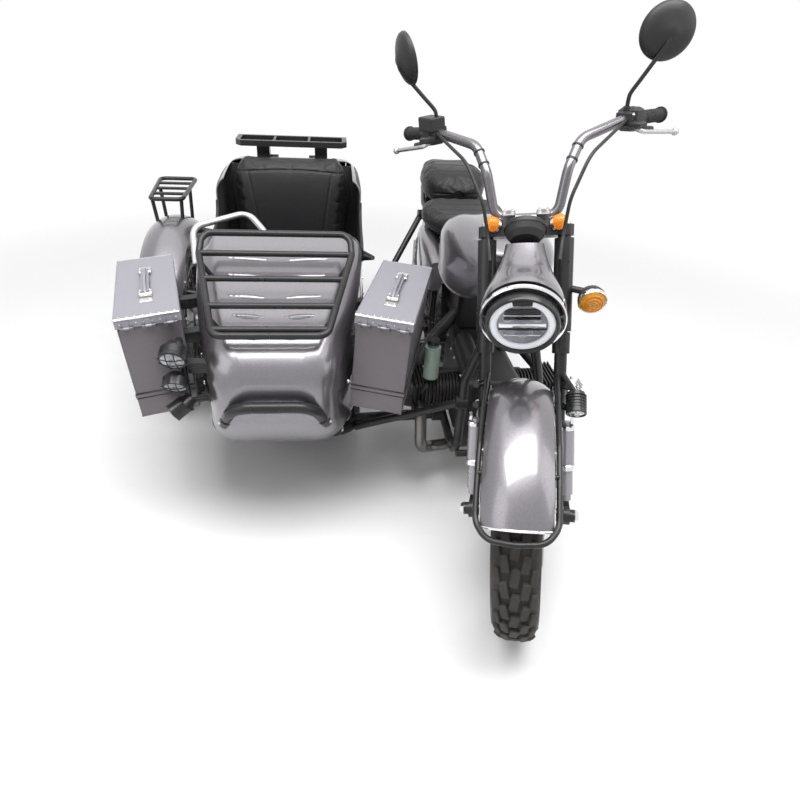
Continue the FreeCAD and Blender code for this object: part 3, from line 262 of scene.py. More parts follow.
def flake_finish(name, dark, light, roughness, metallic, coat, size=1100.0, dust=0.3):
    """Metallic paint under lacquer."""
    material, tree, shader = start_material(name, Metallic=metallic, Coat_Weight=coat, Coat_Roughness=0.04)
    flake = use(tree, metal_flake, Dark=(*dark, 1), Light=(*light, 1), Size=size)["Color"]
    dirt = use(tree, road_dust, Reach=0.55, Amount=dust)["Mask"]
    feed(tree, shader["Base Color"], mixed(tree, dirt, flake, dust_colour))
    skin = use(tree, surface_grain, Scale=120.0, Strength=1.0)
    worn = spread(tree, skin["Mottle"], 0.3, 0.7, roughness - 0.015, roughness + 0.02)
    feed(tree, shader["Roughness"], maths(tree, "MULTIPLY_ADD", dirt, 0.4, worn, clamp=True))
    bump(tree, shader, skin["Height"], 0.012, 0.0004)
    return material


def hide_finish(name, colour, roughness):
    """Grained leather, duller in its creases, its colour darkened there by painted shade against lighter crowns.
    """
    material, tree, shader = start_material(name, Specular_IOR_Level=0.32, Sheen_Weight=0.05,
                                            Sheen_Roughness=0.4)
    hide = use(tree, leather_grain, Scale=260.0)
    # painted shade: dark goes into the creases, pale onto the crowns between them
    dark, pale = (*(c * 0.55 for c in colour), 1), (*(c * 1.7 + 0.004 for c in colour), 1)
    feed(tree, shader["Base Color"], mixed(tree, hide["CreaseShade"], dark, pale))
    in_crease, on_crown = roughness + 0.14, roughness - 0.05
    feed(tree, shader["Roughness"], spread(tree, hide["Height"], 0.2, 1.5, in_crease, on_crown))
    bump(tree, shader, hide["Height"], 0.4, 0.0007)
    return material


def lens_finish(name, colour, roughness=0.06, glow=0.0, transmission=0.6, scale=90.0, ior=1.49):
    """Moulded lamp glass with prisms behind its face."""
    material, tree, shader = start_material(name, Roughness=roughness, Transmission_Weight=transmission,
                                            IOR=ior, Emission_Color=(*colour, 1), Emission_Strength=glow)
    skin = use(tree, surface_grain, Scale=scale, Strength=1.0)
    deeper = (*(c * 0.75 for c in colour), 1)
    feed(tree, shader["Base Color"], mixed(tree, skin["Mottle"], deeper, (*colour, 1)))
    bump(tree, shader, skin["Height"], 0.2, 0.0008)
    return material


paint = flake_finish("metallic_paint", (0.150, 0.141, 0.155), (0.245, 0.233, 0.252), 0.33, 0.88, 0.9,
                     1600.0, 0.1)
# the boxes' walls and lids are one paint in two copies: the walls' darker colour is painted shade, the lids'
# lighter colour painted light
wall_paint_shaded = flake_finish("box_wall_paint_painted_shade", (0.118, 0.106, 0.115), (0.153, 0.140, 0.151), 0.48, 0.3, 0.1,
                        1500.0)
lid_paint_lit = flake_finish("box_lid_paint_painted_light", (0.225, 0.217, 0.247), (0.28, 0.272, 0.307), 0.42, 0.35, 0.15, 1500.0)
bar_metal = flake_finish("handlebar_lacquer", (0.11, 0.104, 0.114), (0.20, 0.19, 0.205), 0.28, 0.85, 0.4)
leather = hide_finish("black_leather", (0.0045, 0.0045, 0.0053), 0.38)
satin_black = solid_finish("powder_coat_black", (0.007, 0.007, 0.008), 0.28, grain=900.0, grain_height=0.12,
                           dust=0.2, gloss=0.3)
plastic = solid_finish("black_plastic", (0.009, 0.009, 0.0095), 0.42, grain=1300.0, grain_height=0.3,
                       dust=0.2, gloss=0.3)
grip_rubber = solid_finish("grip_rubber", (0.013, 0.013, 0.0135), 0.6, grain=800.0, grain_height=0.4,
                           dust=0.2, gloss=0.3)
tread_rubber = solid_finish("tyre_rubber", (0.0085, 0.0075, 0.0065), 0.75, grain=500.0, grain_height=0.6,
                            dust=0.25, reach=0.85, variation=0.4, gloss=0.2)
engine_enamel = solid_finish("engine_enamel", (0.014, 0.014, 0.0145), 0.45, metallic=0.2, grain=260.0,
                             grain_height=0.6, dust=0.3, gloss=0.35)
cast_metal = solid_finish("cast_alloy", (0.42, 0.42, 0.43), 0.42, metallic=0.9, grain=320.0, grain_height=0.6,
                          dust=0.5)
chrome = solid_finish("bright_plate", (0.78, 0.78, 0.79), 0.12, metallic=1.0, grain=200.0, grain_height=0.05,
                      dust=0.3, variation=0.03, rough_spread=0.08)
disc_steel = solid_finish("brake_disc_steel", (0.34, 0.335, 0.33), 0.3, metallic=1.0, grain=90.0,
                          grain_height=0.1, dust=0.3, variation=0.2)
zinc = solid_finish("zinc_bolts", (0.62, 0.61, 0.58), 0.3, metallic=1.0, grain=700.0)
pipe_metal = solid_finish("exhaust_pipe", (0.10, 0.095, 0.09), 0.34, metallic=1.0, grain=150.0,
                          grain_height=0.2, dust=0.3, variation=0.5)
spring_paint = solid_finish("spring_cover_paint", (0.30, 0.29, 0.31), 0.3, metallic=0.6, grain_height=0.1,
                            dust=0.5, coat=0.4)
reflector = solid_finish("lamp_reflector", (0.55, 0.56, 0.58), 0.18, metallic=1.0, grain=60.0,
                         grain_height=0.1, dust=0.0)
dark_bezel = solid_finish("lamp_bezel", (0.009, 0.009, 0.010), 0.25, grain=500.0, dust=0.0, gloss=0.35)
cell_white = solid_finish("lamp_cells", (0.62, 0.63, 0.66), 0.25, metallic=0.4, grain=120.0, dust=0.0)
dark_tub_inside = solid_finish("tub_inside_near_black", (0.012, 0.012, 0.0125), 0.8, grain=900.0, grain_height=1.0, dust=0.1,
                      gloss=0.25)
mirror_glass = solid_finish("mirror_glass", (0.85, 0.86, 0.88), 0.03, metallic=1.0, grain=30.0,
                            grain_height=0.0, dust=0.0, variation=0.02, rough_spread=0.01)
plate_paint = solid_finish("blank_plate", (0.75, 0.75, 0.73), 0.35, grain=500.0)
amber = lens_finish("amber_lens", (0.95, 0.40, 0.02), glow=0.12)
red_glass = lens_finish("red_lens", (0.55, 0.02, 0.015), glow=0.03)
clear_glass = lens_finish("clear_lens", (0.97, 0.98, 1.0), 0.02, transmission=1.0, scale=14.0, ior=1.12)
halo = lens_finish("halo_ring", (0.80, 0.82, 0.86), 0.3, glow=0.25, transmission=0.0, scale=300.0)
bottle_plastic = lens_finish("bottle_plastic", (0.42, 0.55, 0.47), 0.35, transmission=0.35, scale=25.0)

finish_of_slot = {
    "black_metal": satin_black, "paint": paint, "box_paint": wall_paint_shaded, "engine_black": engine_enamel,
    "chrome": chrome, "spring": spring_paint, "leather": leather, "satin_grey": bar_metal,
    "lamp": dark_bezel, "amber": amber, "red": red_glass, "bottle": bottle_plastic,
    "plastic": plastic, "tyre": tread_rubber, "wheel_metal": satin_black,
}


def smooth(mesh, angle=35.0):
    mesh.polygons.foreach_set("use_smooth", [True] * len(mesh.polygons))
    mesh.set_sharp_from_angle(angle=math.radians(angle))


def dress(node, *finishes):
    """Give a CAD node its finishes; the first is on every face."""
    mesh = nodes[node].data
    mesh.materials.clear()
    for finish in finishes:
        mesh.materials.append(finish)
    mesh.polygons.foreach_set("material_index", [0] * len(mesh.polygons))
    smooth(mesh)


def repaint(node, index, chosen):
    """Faces of a node whose middle passes the test take its finish of that number."""
    for face in nodes[node].data.polygons:
        if chosen(face.center):
            face.material_index = index


for part in frame["record"]["subparts"]:
    dress(part["node"], finish_of_slot[part["material_slot"]])


# ------------------------------------------------------------------ piece building
class Work:
    """Vertices and faces of one piece, gathered in machine millimetres."""

    def __init__(self, place=machine):
        self.place, self.points, self.faces, self.finish = place, [], [], []

    def face(self, corners, finish=0):
        self.faces.append(corners)
        self.finish.append(finish)

    def rings(self, rings, finish=0, caps=(True, True), closed=False):
        """Skin a row of equal loops; caps close the first and the last one."""
        base, count = len(self.points), len(rings[0])
        for ring in rings:
            self.points += [self.place(*point) for point in ring]
        for i in range(len(rings) if closed else len(rings) - 1):
            a, b = base + i * count, base + (i + 1) % len(rings) * count
            for k in range(count):
                n = (k + 1) % count
                self.face((a + k, a + n, b + n, b + k), finish)
        if not closed and caps[0]:
            self.face(tuple(base + k for k in reversed(range(count))), finish)
        if not closed and caps[1]:
            last = base + (len(rings) - 1) * count
            self.face(tuple(last + k for k in range(count)), finish)

    def lathe(self, profile, base, direction, steps=32, finish=0, caps=(True, True), closed=False):
        """Turn (along, radius) pairs about a direction from base."""
        base, along = Vector(base), Vector(direction).normalized()
        self.rings([circle(base + along * reach, along, radius, steps) for reach, radius in profile],
                   finish, caps, closed)

    def hoop(self, profile, base, direction, steps=32, finish=0):
        """A lathed ring: the profile closes on itself."""
        self.lathe(profile, base, direction, steps, finish, closed=True)

    def dome(self, profile, base, direction, steps=32, finish=0):
        """A lathed cover, open at its foot."""
        self.lathe(profile, base, direction, steps, finish, caps=(False, True))

    def tube(self, points, radius, steps=10, finish=0, closed=False, rounding=4):
        """Round bar through the points, on a curve that passes each of them."""
        line = flowing([Vector(p) for p in points], rounding, closed)
        count = len(line)
        across, rings = None, []
        for i, point in enumerate(line):
            ahead = line[(i + 1) % count] if closed or i + 1 < count else point
            behind = line[i - 1] if closed or i > 0 else point
            along = (ahead - behind).normalized()
            across = (across - along * across.dot(along)).normalized() if across else square_to(along)
            size = radius[i * len(radius) // count] if isinstance(radius, tuple) else radius
            rings.append(circle(point, along, size, steps, across))
        self.rings(rings, finish, closed=closed)

    def slab(self, centre, size, finish=0, chamfer=1.5, axes=None):
        """Block with broken edges; axes are its own three directions."""
        centre = Vector(centre)
        x, y, z = axes or (left, way(0, 1, 0), top)
        half = [s / 2 for s in size]
        c = min(chamfer, *(h * 0.9 for h in half))
        rings = []
        for height, draw in ((-half[2], c), (-half[2] + c, 0), (half[2] - c, 0), (half[2], c)):
            a, b = half[0] - draw, half[1] - draw
            corners = [(a, -b + c), (a, b - c), (a - c, b), (-a + c, b), (-a, b - c), (-a, -b + c),
                       (-a + c, -b), (a - c, -b)]
            rings.append([centre + x * u + y * v + z * height for u, v in corners])
        self.rings(rings, finish)

    def bolt(self, base, direction, size=6.0, head=5.0, finish=0):
        """Washer and hexagon head standing on a surface."""
        self.lathe([(-1, size * 1.35), (1.0, size * 1.35), (1.4, size * 1.2)], base, direction, 16, finish)
        self.lathe([(1.2, size), (head - 0.8, size), (head, size * 0.86)], base, direction, 6, finish)
        self.lathe([(head - 0.5, size * 0.5), (head + 0.8, size * 0.45)], base, direction, 10, finish)

    def rivet(self, base, direction, size=3.0, finish=0):
        self.lathe([(-0.5, size), (0.5, size * 0.9), (1.1, size * 0.6), (1.4, size * 0.2)], base, direction,
                   10, finish)


def turns(steps, first=0.0):
    return [first + math.tau * n / steps for n in range(steps)]


def square_to(along):
    return along.cross(top if abs(along.z) < 0.9 else left).normalized()


def circle(centre, along, radius, steps, across=None, first=0.0):
    """Points spaced evenly round a line, square to it."""
    across = across or square_to(along)
    other = along.cross(across)
    return [centre + (across * math.cos(t) + other * math.sin(t)) * radius for t in turns(steps, first)]


def flowing(points, parts, closed=False):
    """Points along a curve through the given ones."""
    if parts < 2 or len(points) < 3:
        return points
    count = len(points)
    line = []
    for i in range(count if closed else count - 1):
        a, b, c, d = (points[(i + k) % count] if closed else points[min(max(i + k, 0), count - 1)]
                      for k in (-1, 0, 1, 2))
        for n in range(parts):
            t = n / parts
            line.append(0.5 * (2 * b + (c - a) * t + (2 * a - 5 * b + 4 * c - d) * t * t
                               + (3 * b - a - 3 * c + d) * t ** 3))
    return line if closed else line + [points[-1]]


def between(a, b, share):
    return a + (b - a) * share


def piece(name, body, work, finishes, angle=35.0):
    """Make the gathered shape a piece that rides a body."""
    mesh = bpy.data.meshes.new(name)
    mesh.from_pydata(work.points, [], work.faces)
    for finish in finishes if isinstance(finishes, list) else [finishes]:
        mesh.materials.append(finish)
    mesh.polygons.foreach_set("material_index", work.finish)
    shape = bmesh.new()
    shape.from_mesh(mesh)
    bmesh.ops.recalc_face_normals(shape, faces=shape.faces)
    shape.to_mesh(mesh)
    shape.free()
    smooth(mesh, angle)
    made = bpy.data.objects.new(name, mesh)
    bpy.context.scene.collection.objects.link(made)
    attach(made, body)
    return made


# ------------------------------------------------------------------ wheels
def round_axle(centre):
    """Gives the point at x along a wheel's axle, at a radius and an angle from the top."""
    cx, cy, cz = centre
    return lambda x, radius, angle: (cx + x, cy + radius * math.sin(angle), cz + radius * math.cos(angle))


def tread_tyre(name, body, centre, place):
    """Carcass with rims of rubber and staggered tread blocks in five rows."""
    work, at = Work(place), round_axle(centre)
    steps, pitches = 96, 30
    half = [(43, 234), (45, 243), (50, 250), (54.5, 266), (56, 281), (54.5, 294), (50, 303), (44, 308),
            (30, 313), (15, 315.5), (0, 316)]
    profile = half + [(-x, r) for x, r in reversed(half[:-1])]
    bands = [profile] + [[(s * x, bead - 1.6), (s * (x + 1.5), bead), (s * x, bead + 1.6)]
                         for s in (-1, 1) for x, bead in ((51.8, 252.0), (54.6, 262.0), (55.5, 292.0))]
    for band in bands:
        work.rings([[at(x, r, t) for x, r in band] for t in turns(steps)], closed=True)
    # middle, lag in pitches, width, length, outer radius and depth of each row's blocks
    rows = [(0.0, 0.0, 21.0, 46.0, 325.0, 14)]
    rows += [(s * x, lag, wide, long, radius, deep) for x, lag, wide, long, radius, deep in
             ((25.0, 0.5, 19.0, 42.0, 324.0, 14), (43.5, 0.0, 15.0, 40.0, 317.5, 16)) for s in (1, -1)]
    skew, groove_depth = 0.16, 1.2
    for n in range(pitches):
        for middle, lag, wide, long, radius, deep in rows:
            t, tilt = math.tau * (n + lag) / pitches, math.radians(middle * 0.72)
            out = way(math.sin(tilt), math.cos(tilt) * math.sin(t), math.cos(tilt) * math.cos(t))
            along = way(0, math.cos(t), -math.sin(t))
            across = along.cross(out).normalized() * (skew if middle >= 0 else -skew)
            along = (along + across).normalized()
            axes = (along.cross(out).normalized(), along, out)
            crown = Vector(at(middle, radius, t))
            work.slab(crown - out * (deep / 2), (wide, long, deep), 0, 2.2, axes)
            if abs(middle) < 30:
                work.slab(crown - out * groove_depth, (wide - 8, 3.0, 0.8), 0, 0.3, axes)
    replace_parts(piece(name + "_tread", body, work, tread_rubber, 30), name)


def wheel_dressing(name, centre, place):
    """Spoke nipples, hub bolts and the disc's bolts."""
    work, at = Work(place), round_axle(centre)
    spokes, spoke_offset, rim_bed = 36, 8, 216
    disc_face, disc_bolts, hub_face, hub_bolts = 66, 48, -42, 50
    for n in range(spokes):
        t = math.radians(360 / spokes * n)
        inward = (0, -math.sin(t), -math.cos(t))
        work.lathe([(0, 4.5), (7, 3.8), (14, 3.0)], at(spoke_offset if n % 2 else -spoke_offset, rim_bed, t),
                   inward, 8)
    for t in turns(6, math.radians(30)):
        work.bolt(at(disc_face, disc_bolts, t), left, 6, 5, 1)
        work.bolt(at(hub_face, hub_bolts, t), -left, 5, 4, 1)
    piece(name + "_fastenings", name, work, [zinc, chrome])


wheels = (("front", front_axle, parked), ("rear", (0, 0, tyre_radius), machine),
          ("sidecar", sidecar_axle, machine))
for name, centre, place in wheels:
    tread_tyre(name + "_tyre", name + "_wheel", centre, place)
for name, centre, place in wheels:
    wheel_dressing(name + "_wheel", centre, place)


# ------------------------------------------------------------------ cushions
def settle(made):
    """Take what the modifiers make as the mesh itself."""
    bpy.context.view_layer.update()
    graph = bpy.context.evaluated_depsgraph_get()
    mesh = bpy.data.meshes.new_from_object(made.evaluated_get(graph))
    made.modifiers.clear()
    made.data = mesh


def blow_up(pad, drawn, swell):
    """Twenty frames of cloth under pressure, held within the swell of the drawn-in form."""
    cloth = pad.modifiers.new("stuffing", "CLOTH")
    cloth.settings.quality = 5
    cloth.settings.use_pressure = True
    cloth.settings.uniform_pressure_force = 4
    cloth.settings.effector_weights.gravity = 0
    cloth.point_cache.frame_end = 20
    scene = bpy.context.scene
    for step in range(1, 21):
        scene.frame_set(step)
    settle(pad)
    scene.frame_set(1)
    for vertex, point in zip(pad.data.vertices, drawn):
        shift = vertex.co - point
        if shift.length > swell * MM:
            vertex.co = point + shift.normalized() * (swell * MM)


def sew(mesh, seams):
    """Press sewn channels into the pad; a seam gives how far a point lies from its line."""
    normals = [v.normal.copy() for v in mesh.vertices]
    for vertex, normal in zip(mesh.vertices, normals):
        spot = measured(vertex.co)
        press = 0.0
        for distance, depth, width in seams:
            gap = distance(*spot, normal)
            if gap is not None:
                press = max(press, depth * math.exp(-(gap / width) ** 2))
        vertex.co = vertex.co - normal * (press * MM)


def stuffed(node, voxel, swell, name, body, seams):
    """Foam pad under leather: the CAD form drawn in, blown up as cloth and sewn."""
    pad = bpy.data.objects.new(name, nodes[node].data.copy())
    bpy.context.scene.collection.objects.link(pad)
    remesh = pad.modifiers.new("even_net", "REMESH")
    remesh.mode = "VOXEL"
    remesh.voxel_size = voxel * MM
    settle(pad)
    drawn = [v.co - v.normal * (swell * 0.5 * MM) for v in pad.data.vertices]
    for vertex, point in zip(pad.data.vertices, drawn):
        vertex.co = point
    blow_up(pad, drawn, swell)
    finer = pad.modifiers.new("finer_net", "SUBSURF")
    finer.levels = finer.render_levels = 1
    settle(pad)
    sew(pad.data, seams)
    pad.data.materials.clear()
    pad.data.materials.append(leather)
    pad.data.polygons.foreach_set("use_smooth", [True] * len(pad.data.polygons))
    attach(pad, body)
    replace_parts(pad, node)


def across_top(y0):
    return lambda x, y, z, n: y - y0 if n.z > 0.35 else None


def round_side(z0):
    return lambda x, y, z, n: z - z0 if abs(n.z) < 0.8 else None


def arc_seam(x, y, z, n):
    """Curved seam on the saddle's top, bowed towards the rear."""
    radius, centre_y = 150.0, -310.0
    return math.hypot(x, y - centre_y) - radius if n.z >= 0.35 and abs(x) <= radius else None


def backrest_border(x, y, z, n):
    """Seam under the backrest's top edge, dropping towards both sides."""
    middle_z, drop, half_width = 908, 10, 200
    return z - middle_z + drop * ((x - sidecar_x) / half_width) ** 2 if n.y <= -0.35 else None


def backrest_side(x, y, z, n):
    """Bowed seam down each side of the middle panel."""
    edge_z, height, half_width, taper = 925, 450, 172, 66
    drop = max(0.0, (edge_z - z) / height)
    seam_x = half_width - taper * drop ** 0.8
    return abs(x - sidecar_x) - seam_x if n.y <= -0.35 and z <= 900 else None


def cross_channels(x, y, z, n):
    """Four seams across the sidecar's seat, between its borders."""
    lines, half_width = (-400, -330, -260, -190), 168
    return min(abs(y - line) for line in lines) if n.z >= 0.4 and abs(x - sidecar_x) <= half_width else None


def seat_border(x, y, z, n):
    half_width = 172
    return abs(x - sidecar_x) - half_width if n.z > 0.3 else None


# each seam with its depth and its width
saddle_seams = [(round_side(768.0), 3.0, 3.0), (across_top(-300.0), 2.6, 4.0), (arc_seam, 2.4, 4.0),
                (across_top(-240.0), 2.0, 3.5), (across_top(-360.0), 2.0, 3.5)]
pillion_seams = [(round_side(822.0), 3.0, 3.0)] + [(across_top(y), 2.6, 4.0) for y in (-20.0, 60.0, 140.0)]
seat_seams = [(cross_channels, 2.6, 4.2), (seat_border, 3.2, 3.8), (round_side(352.0), 2.6, 3.0)]
backrest_seams = [(backrest_border, 3.0, 3.6), (backrest_side, 3.6, 4.0)]
for node, voxel, swell, name, seams, fill in (
        ("rider_saddle", 5, 9, "rider_saddle_leather", saddle_seams, 0.85),
        ("pillion_seat", 5, 9, "pillion_leather", pillion_seams, 0.85),
        ("sidecar_seat", 6, 11, "sidecar_seat_leather", seat_seams, 0.75),
        ("sidecar_backrest", 6, 12, "sidecar_backrest_leather", backrest_seams, 0.75)):
    stuffed(node, voxel, swell, name, "chassis", seams)


# ------------------------------------------------------------------ feeling for surfaces
def skin_of(node):
    mesh = nodes[node].data
    corners, faces = [v.co.copy() for v in mesh.vertices], [tuple(f.vertices) for f in mesh.polygons]
    return BVHTree.FromPolygons(corners, faces)


def touch(skin, start, toward):
    """Where a line meets a surface, in machine millimetres, with the surface's outward way."""
    spot, normal, _, _ = skin.ray_cast(machine(*start), Vector(toward).normalized())
    if spot is None:
        return None
    return measured(spot), -normal if normal.dot(toward) > 0 else normal


def crest(skin, x, y):
    """Where a line dropped on a surface at x from the sidecar's middle meets it."""
    return touch(skin, (sidecar_x + x, y, sky), down)


def flank(skin, side, y, z):
    """Where a level line from the sidecar's side meets a surface."""
    clear_of_it = 600
    return touch(skin, (sidecar_x + side * clear_of_it, y, z), -side * left)


def near_line(points, reach, place=machine):
    """Test for faces that lie within a reach of a bent line."""
    line = [place(*p) for p in points]

    def test(middle):
        for a, b in zip(line, line[1:]):
            along = b - a
            share = max(0.0, min(1.0, (middle - a).dot(along) / along.length_squared))
            if (middle - a - along * share).length < reach * MM:
                return True
        return False
    return test


# ------------------------------------------------------------------ front end
rake, trail = math.radians(27), 75.0
top_clamp_z, low_clamp_z = 950.0, 775.0
leg_half, leg_ahead, cover_radius = 100.0, 46.0, 25.0
fender_half, fender_radius, fender_skirt = 80.0, 367.0, 62.0
lamp_centre, nacelle_radius = way(0, -1352.0, 864.0), 100.0
shock_top_y, shock_top_z = -1318, 552
axis_way = way(0, math.sin(rake), math.cos(rake))
ahead, rearward = way(0, -1, 0), way(0, 1, 0)


def leg_point(z, x=leg_half):
    """Point on a leg's middle line, from a height on the steering axis."""
    return way(x, -(wheelbase + trail) + z * math.tan(rake) - leg_ahead * math.cos(rake),
               z + leg_ahead * math.sin(rake))


def marker_lamp(s):
    return way(s * 70, -1072, 1004)


def bar_point(share, s=1):
    """Point along a grip, from its clamp to its end."""
    return between(way(s * 240.0, -890.0, 1214.0), way(s * 352.0, -745.0, 1196.0), share)


def headlamp_face():
    """Bezel, halo and dark inner lens with its bright bar, all on the lamp's own axis."""
    tilt, rim = math.radians(14), nacelle_radius
    face, up = way(0, -math.cos(tilt), -math.sin(tilt)), way(0, -math.sin(tilt), math.cos(tilt))
    axes = (left, up, face)
    seat = lamp_centre + face * 12
    bezel, ring, inner = Work(parked), Work(parked), Work(parked)
    bezel.hoop([(-12, 87.2), (6, 87.2), (11, 85), (12.5, 81), (10, 78), (2, 76.5), (-3, 76.5)],
               seat, face, 72)
    bezel.hoop([(-14, rim + 1.5), (-6, rim + 2), (-3, rim - 1), (-5, rim - 5), (-14, rim - 5)],
               seat - face * 8, face, 72, 1)
    ring.hoop([(-1, 76.6), (4, 75.5), (6.5, 70), (6, 64), (3, 60), (-1, 59.5)], seat, face, 72)
    inner.lathe([(-1, 59.5), (0.5, 58), (0.5, 0.5)], seat, face, 60, 4)
    for lift, rise, wide, high, finish in ((2, 33, 82, 30, 0), (2, -12, 112, 5, 0), (3, 0, 108, 13, 1)):
        inner.slab(seat + face * lift + up * rise, (wide, high, 3), finish, 1.0, axes)
    for s in (-1, 1):
        inner.slab(seat + face * 3 + up * (s * 30), (84, 2.4, 2.4), 1, 0.6, axes)
        inner.lathe([(0, 17), (4, 16), (7, 11), (8.5, 4), (8.8, 0.5)], seat + up * (s * 20), face, 32, 2)
        for x in (-34, 34):
            inner.lathe([(0, 11), (3, 10), (5, 6), (5.6, 0.5)], seat + up * (s * 21) + left * x, face, 24, 2)
    inner.slab(seat + up * 67 + face * 5.5, (46, 15, 4), 3, 2.0, axes)
    inner.dome([(7, 60), (9.5, 50), (11.5, 30), (12.4, 12), (12.6, 0.5)], seat, face, 60, 2)
    piece("headlight_bezel", "steering", bezel, [dark_bezel, chrome])
    piece("headlight_halo", "steering", ring, halo)
    lens_finishes = [dark_bezel, chrome, clear_glass, plastic, reflector]
    piece("headlight_lens", "steering", inner, lens_finishes, 40)


def signal_lenses():
    """Amber glasses of the turn signal and of the two marker lamps beside the risers."""
    glass, ring = Work(parked), Work(parked)
    root = leg_point(low_clamp_z + 52, leg_half + cover_radius - 2) + way(44, -2, -4)
    face = (0.1, -0.97, -0.2)
    glass.dome([(49, 33), (55, 32), (61, 26), (65, 14), (66.5, 0.5)], root, face, 40)
    for radius, reach in ((25, 62.2), (17, 64.8), (9, 66.2)):
        glass.hoop([(reach - 1, radius - 1.2), (reach + 0.6, radius), (reach - 1, radius + 1.2)],
                   root, face, 36)
    ring.hoop([(44, 36.4), (52, 36.8), (55.5, 34.8), (54, 32.5), (44, 33.5)], root, face, 40)
    for s in (-1, 1):
        base, out = marker_lamp(s), (s, -0.3, 0.5)
        glass.lathe([(5, 16.4), (12, 19), (22, 19.5), (31, 16), (37, 9), (39, 0.5)], base, out, 32)
        for reach in (12, 17, 22, 27):
            glass.hoop([(reach - 1.1, 18.4), (reach, 20.1), (reach + 1.1, 18.6)], base, out, 32)
        ring.hoop([(0, 17.4), (6, 17.8), (7, 16), (0, 15.5)], base, out, 32)
    piece("signal_lenses", "steering", glass, amber)
    piece("signal_rings", "steering", ring, chrome)


def auxiliary_face():
    """Lens, retaining ring and cooling ribs of the lamp beside the fender."""
    face = unit(0, -0.82, -0.57)
    base = way(138, -1330, 620) - face * 28
    body, glass = Work(parked), Work(parked)
    body.hoop([(48, 25.8), (57, 26.2), (59, 24.5), (58, 20.5), (54, 21), (48, 22)], base, face, 36)
    for reach in (8, 16, 24, 32, 40):
        body.hoop([(reach, 23), (reach + 0.6, 26.4), (reach + 2.6, 26.4), (reach + 3.2, 23)], base, face, 36)
    glass.lathe([(56.2, 21), (57.5, 16), (58.6, 8), (58.9, 0.5)], base, face, 32)
    for spot in circle(base, face, 10, 4, first=0.4):
        glass.lathe([(56.6, 7), (59.2, 6), (60.4, 3), (60.6, 0.5)], spot, face, 16, 1)
    piece("auxiliary_lamp_ring", "steering", body, dark_bezel)
    piece("auxiliary_lamp_glass", "steering", glass, [reflector, clear_glass])


def instrument_face():
    """Round gauge: rubber ring, flat dark glass, scale marks and a pointer."""
    face = unit(0, 0.75, 0.66)
    base, up = way(0, -1150, 988), left.cross(face).normalized()
    case, marks = Work(parked), Work(parked)
    case.hoop([(30, 53.6), (40, 53.8), (43, 51), (42.5, 47), (38, 47)], base, face, 56)
    case.lathe([(40.2, 47.2), (40.6, 0.5)], base, face, 48, 1)

    def mark(angle, reach, lift, size, finish, chamfer):
        radial = up * math.cos(angle) + left * math.sin(angle)
        marks.slab(base + face * lift + radial * reach, size, finish, chamfer,
                   (radial.cross(face).normalized(), radial, face))
    for k in range(25):
        wide, long = (1.1, 4) if k % 4 else (1.8, 7)
        mark(math.radians(10 * k - 120), 42 - long / 2, 41, (wide, long, 0.5), 0, 0.2)
    mark(-2.2, 14, 41.6, (2.2, 34, 0.7), 1, 0.3)
    marks.lathe([(41, 5), (43, 4.4), (43.6, 0.5)], base, face, 20, 2)
    piece("gauge_case", "steering", case, [plastic, dark_bezel])
    piece("gauge_marks", "steering", marks, [plate_paint, red_glass, plastic])


def bar_fittings():
    """Grip ribs and end collars, switch housings with their buttons, clamps, bolts and ties."""
    rubber, housing, bright = Work(parked), Work(parked), Work(parked)
    for s in (-1, 1):
        along = (bar_point(1, s) - bar_point(0, s)).normalized()
        up = (top - along * along.z).normalized()
        fore = along.cross(up).normalized() * s

        def at(share, forward=0, rise=0, outward=0):
            return bar_point(share, s) + fore * forward + up * rise + along * outward

        def block(spot, size, finish, chamfer):
            housing.slab(spot, size, finish, chamfer, (along, fore, up))
        grip_rib = [(-1.4, 16.4), (-0.9, 17.7), (0.9, 17.7), (1.4, 16.4)]
        for k in range(15):
            rubber.hoop(grip_rib, at(0.40 + 0.04 * k), along, 20)
        for share in (0.37, 1.01):
            rubber.hoop([(-3, 16.4), (-2.4, 21), (2.4, 21), (3, 16.4)], at(share), along, 24)
        block(at(0.17), (46, 56, 58), 0, 8)
        block(at(0.07, 34, -12), (44, 34, 18), 0, 5)
        housing.tube([at(0.02, 26, -8), at(0.12, 44, -20), at(0.3, 50, -24)], 8, 12)
        housing.lathe([(-13, 24), (-11, 27), (11, 27), (13, 24)], at(0.30), along, 30)
        block(at(0.17, -24, 12), (24, 12, 10), 0, 3)
        block(at(0.17, -25, -9), (12, 9, 9), 1, 2)
        block(at(0.17, 0, 27, 8), (10, 12, 6), 1, 2)
        block(at(0.02), (18, 46, 40), 0, 5)
        for drop in (-1, 1):
            bright.bolt(at(0.02, 23, 13 * drop), fore, 3.2, 3.4)
            bright.bolt(at(0.17, -25, 20 * drop, 12), -fore, 2.2, 2.0)
        bright.lathe([(0, 9), (3, 9), (5, 6), (5, 0.5)], at(0.06, 0, 20), up, 18)
        for y in (-1039, -1063):
            for x in (-10, 10):
                bright.bolt((s * 45 + x, y, 1034), top, 4.2, 4.4)
        bright.lathe([(-14, 15), (-3, 15), (-1, 13), (-1, 8), (4, 8), (5, 6), (5, 0.5)],
                     leg_point(top_clamp_z, s * leg_half) + axis_way * 40, axis_way, 24)
    for s in (-1, 1):
        a, b = way(s * 102.0, -1021.0, 1130.0), way(s * 132.0, -969.0, 1190.0)
        for share in (0.3, 0.75):
            housing.hoop([(-2.5, 13.2), (-2.2, 15), (2.2, 15), (2.5, 13.2)], between(a, b, share), b - a, 20)
    piece("grip_ribs", "steering", rubber, grip_rubber)
    piece("switch_housings", "steering", housing, [plastic, grip_rubber])
    piece("bar_bolts", "steering", bright, zinc)


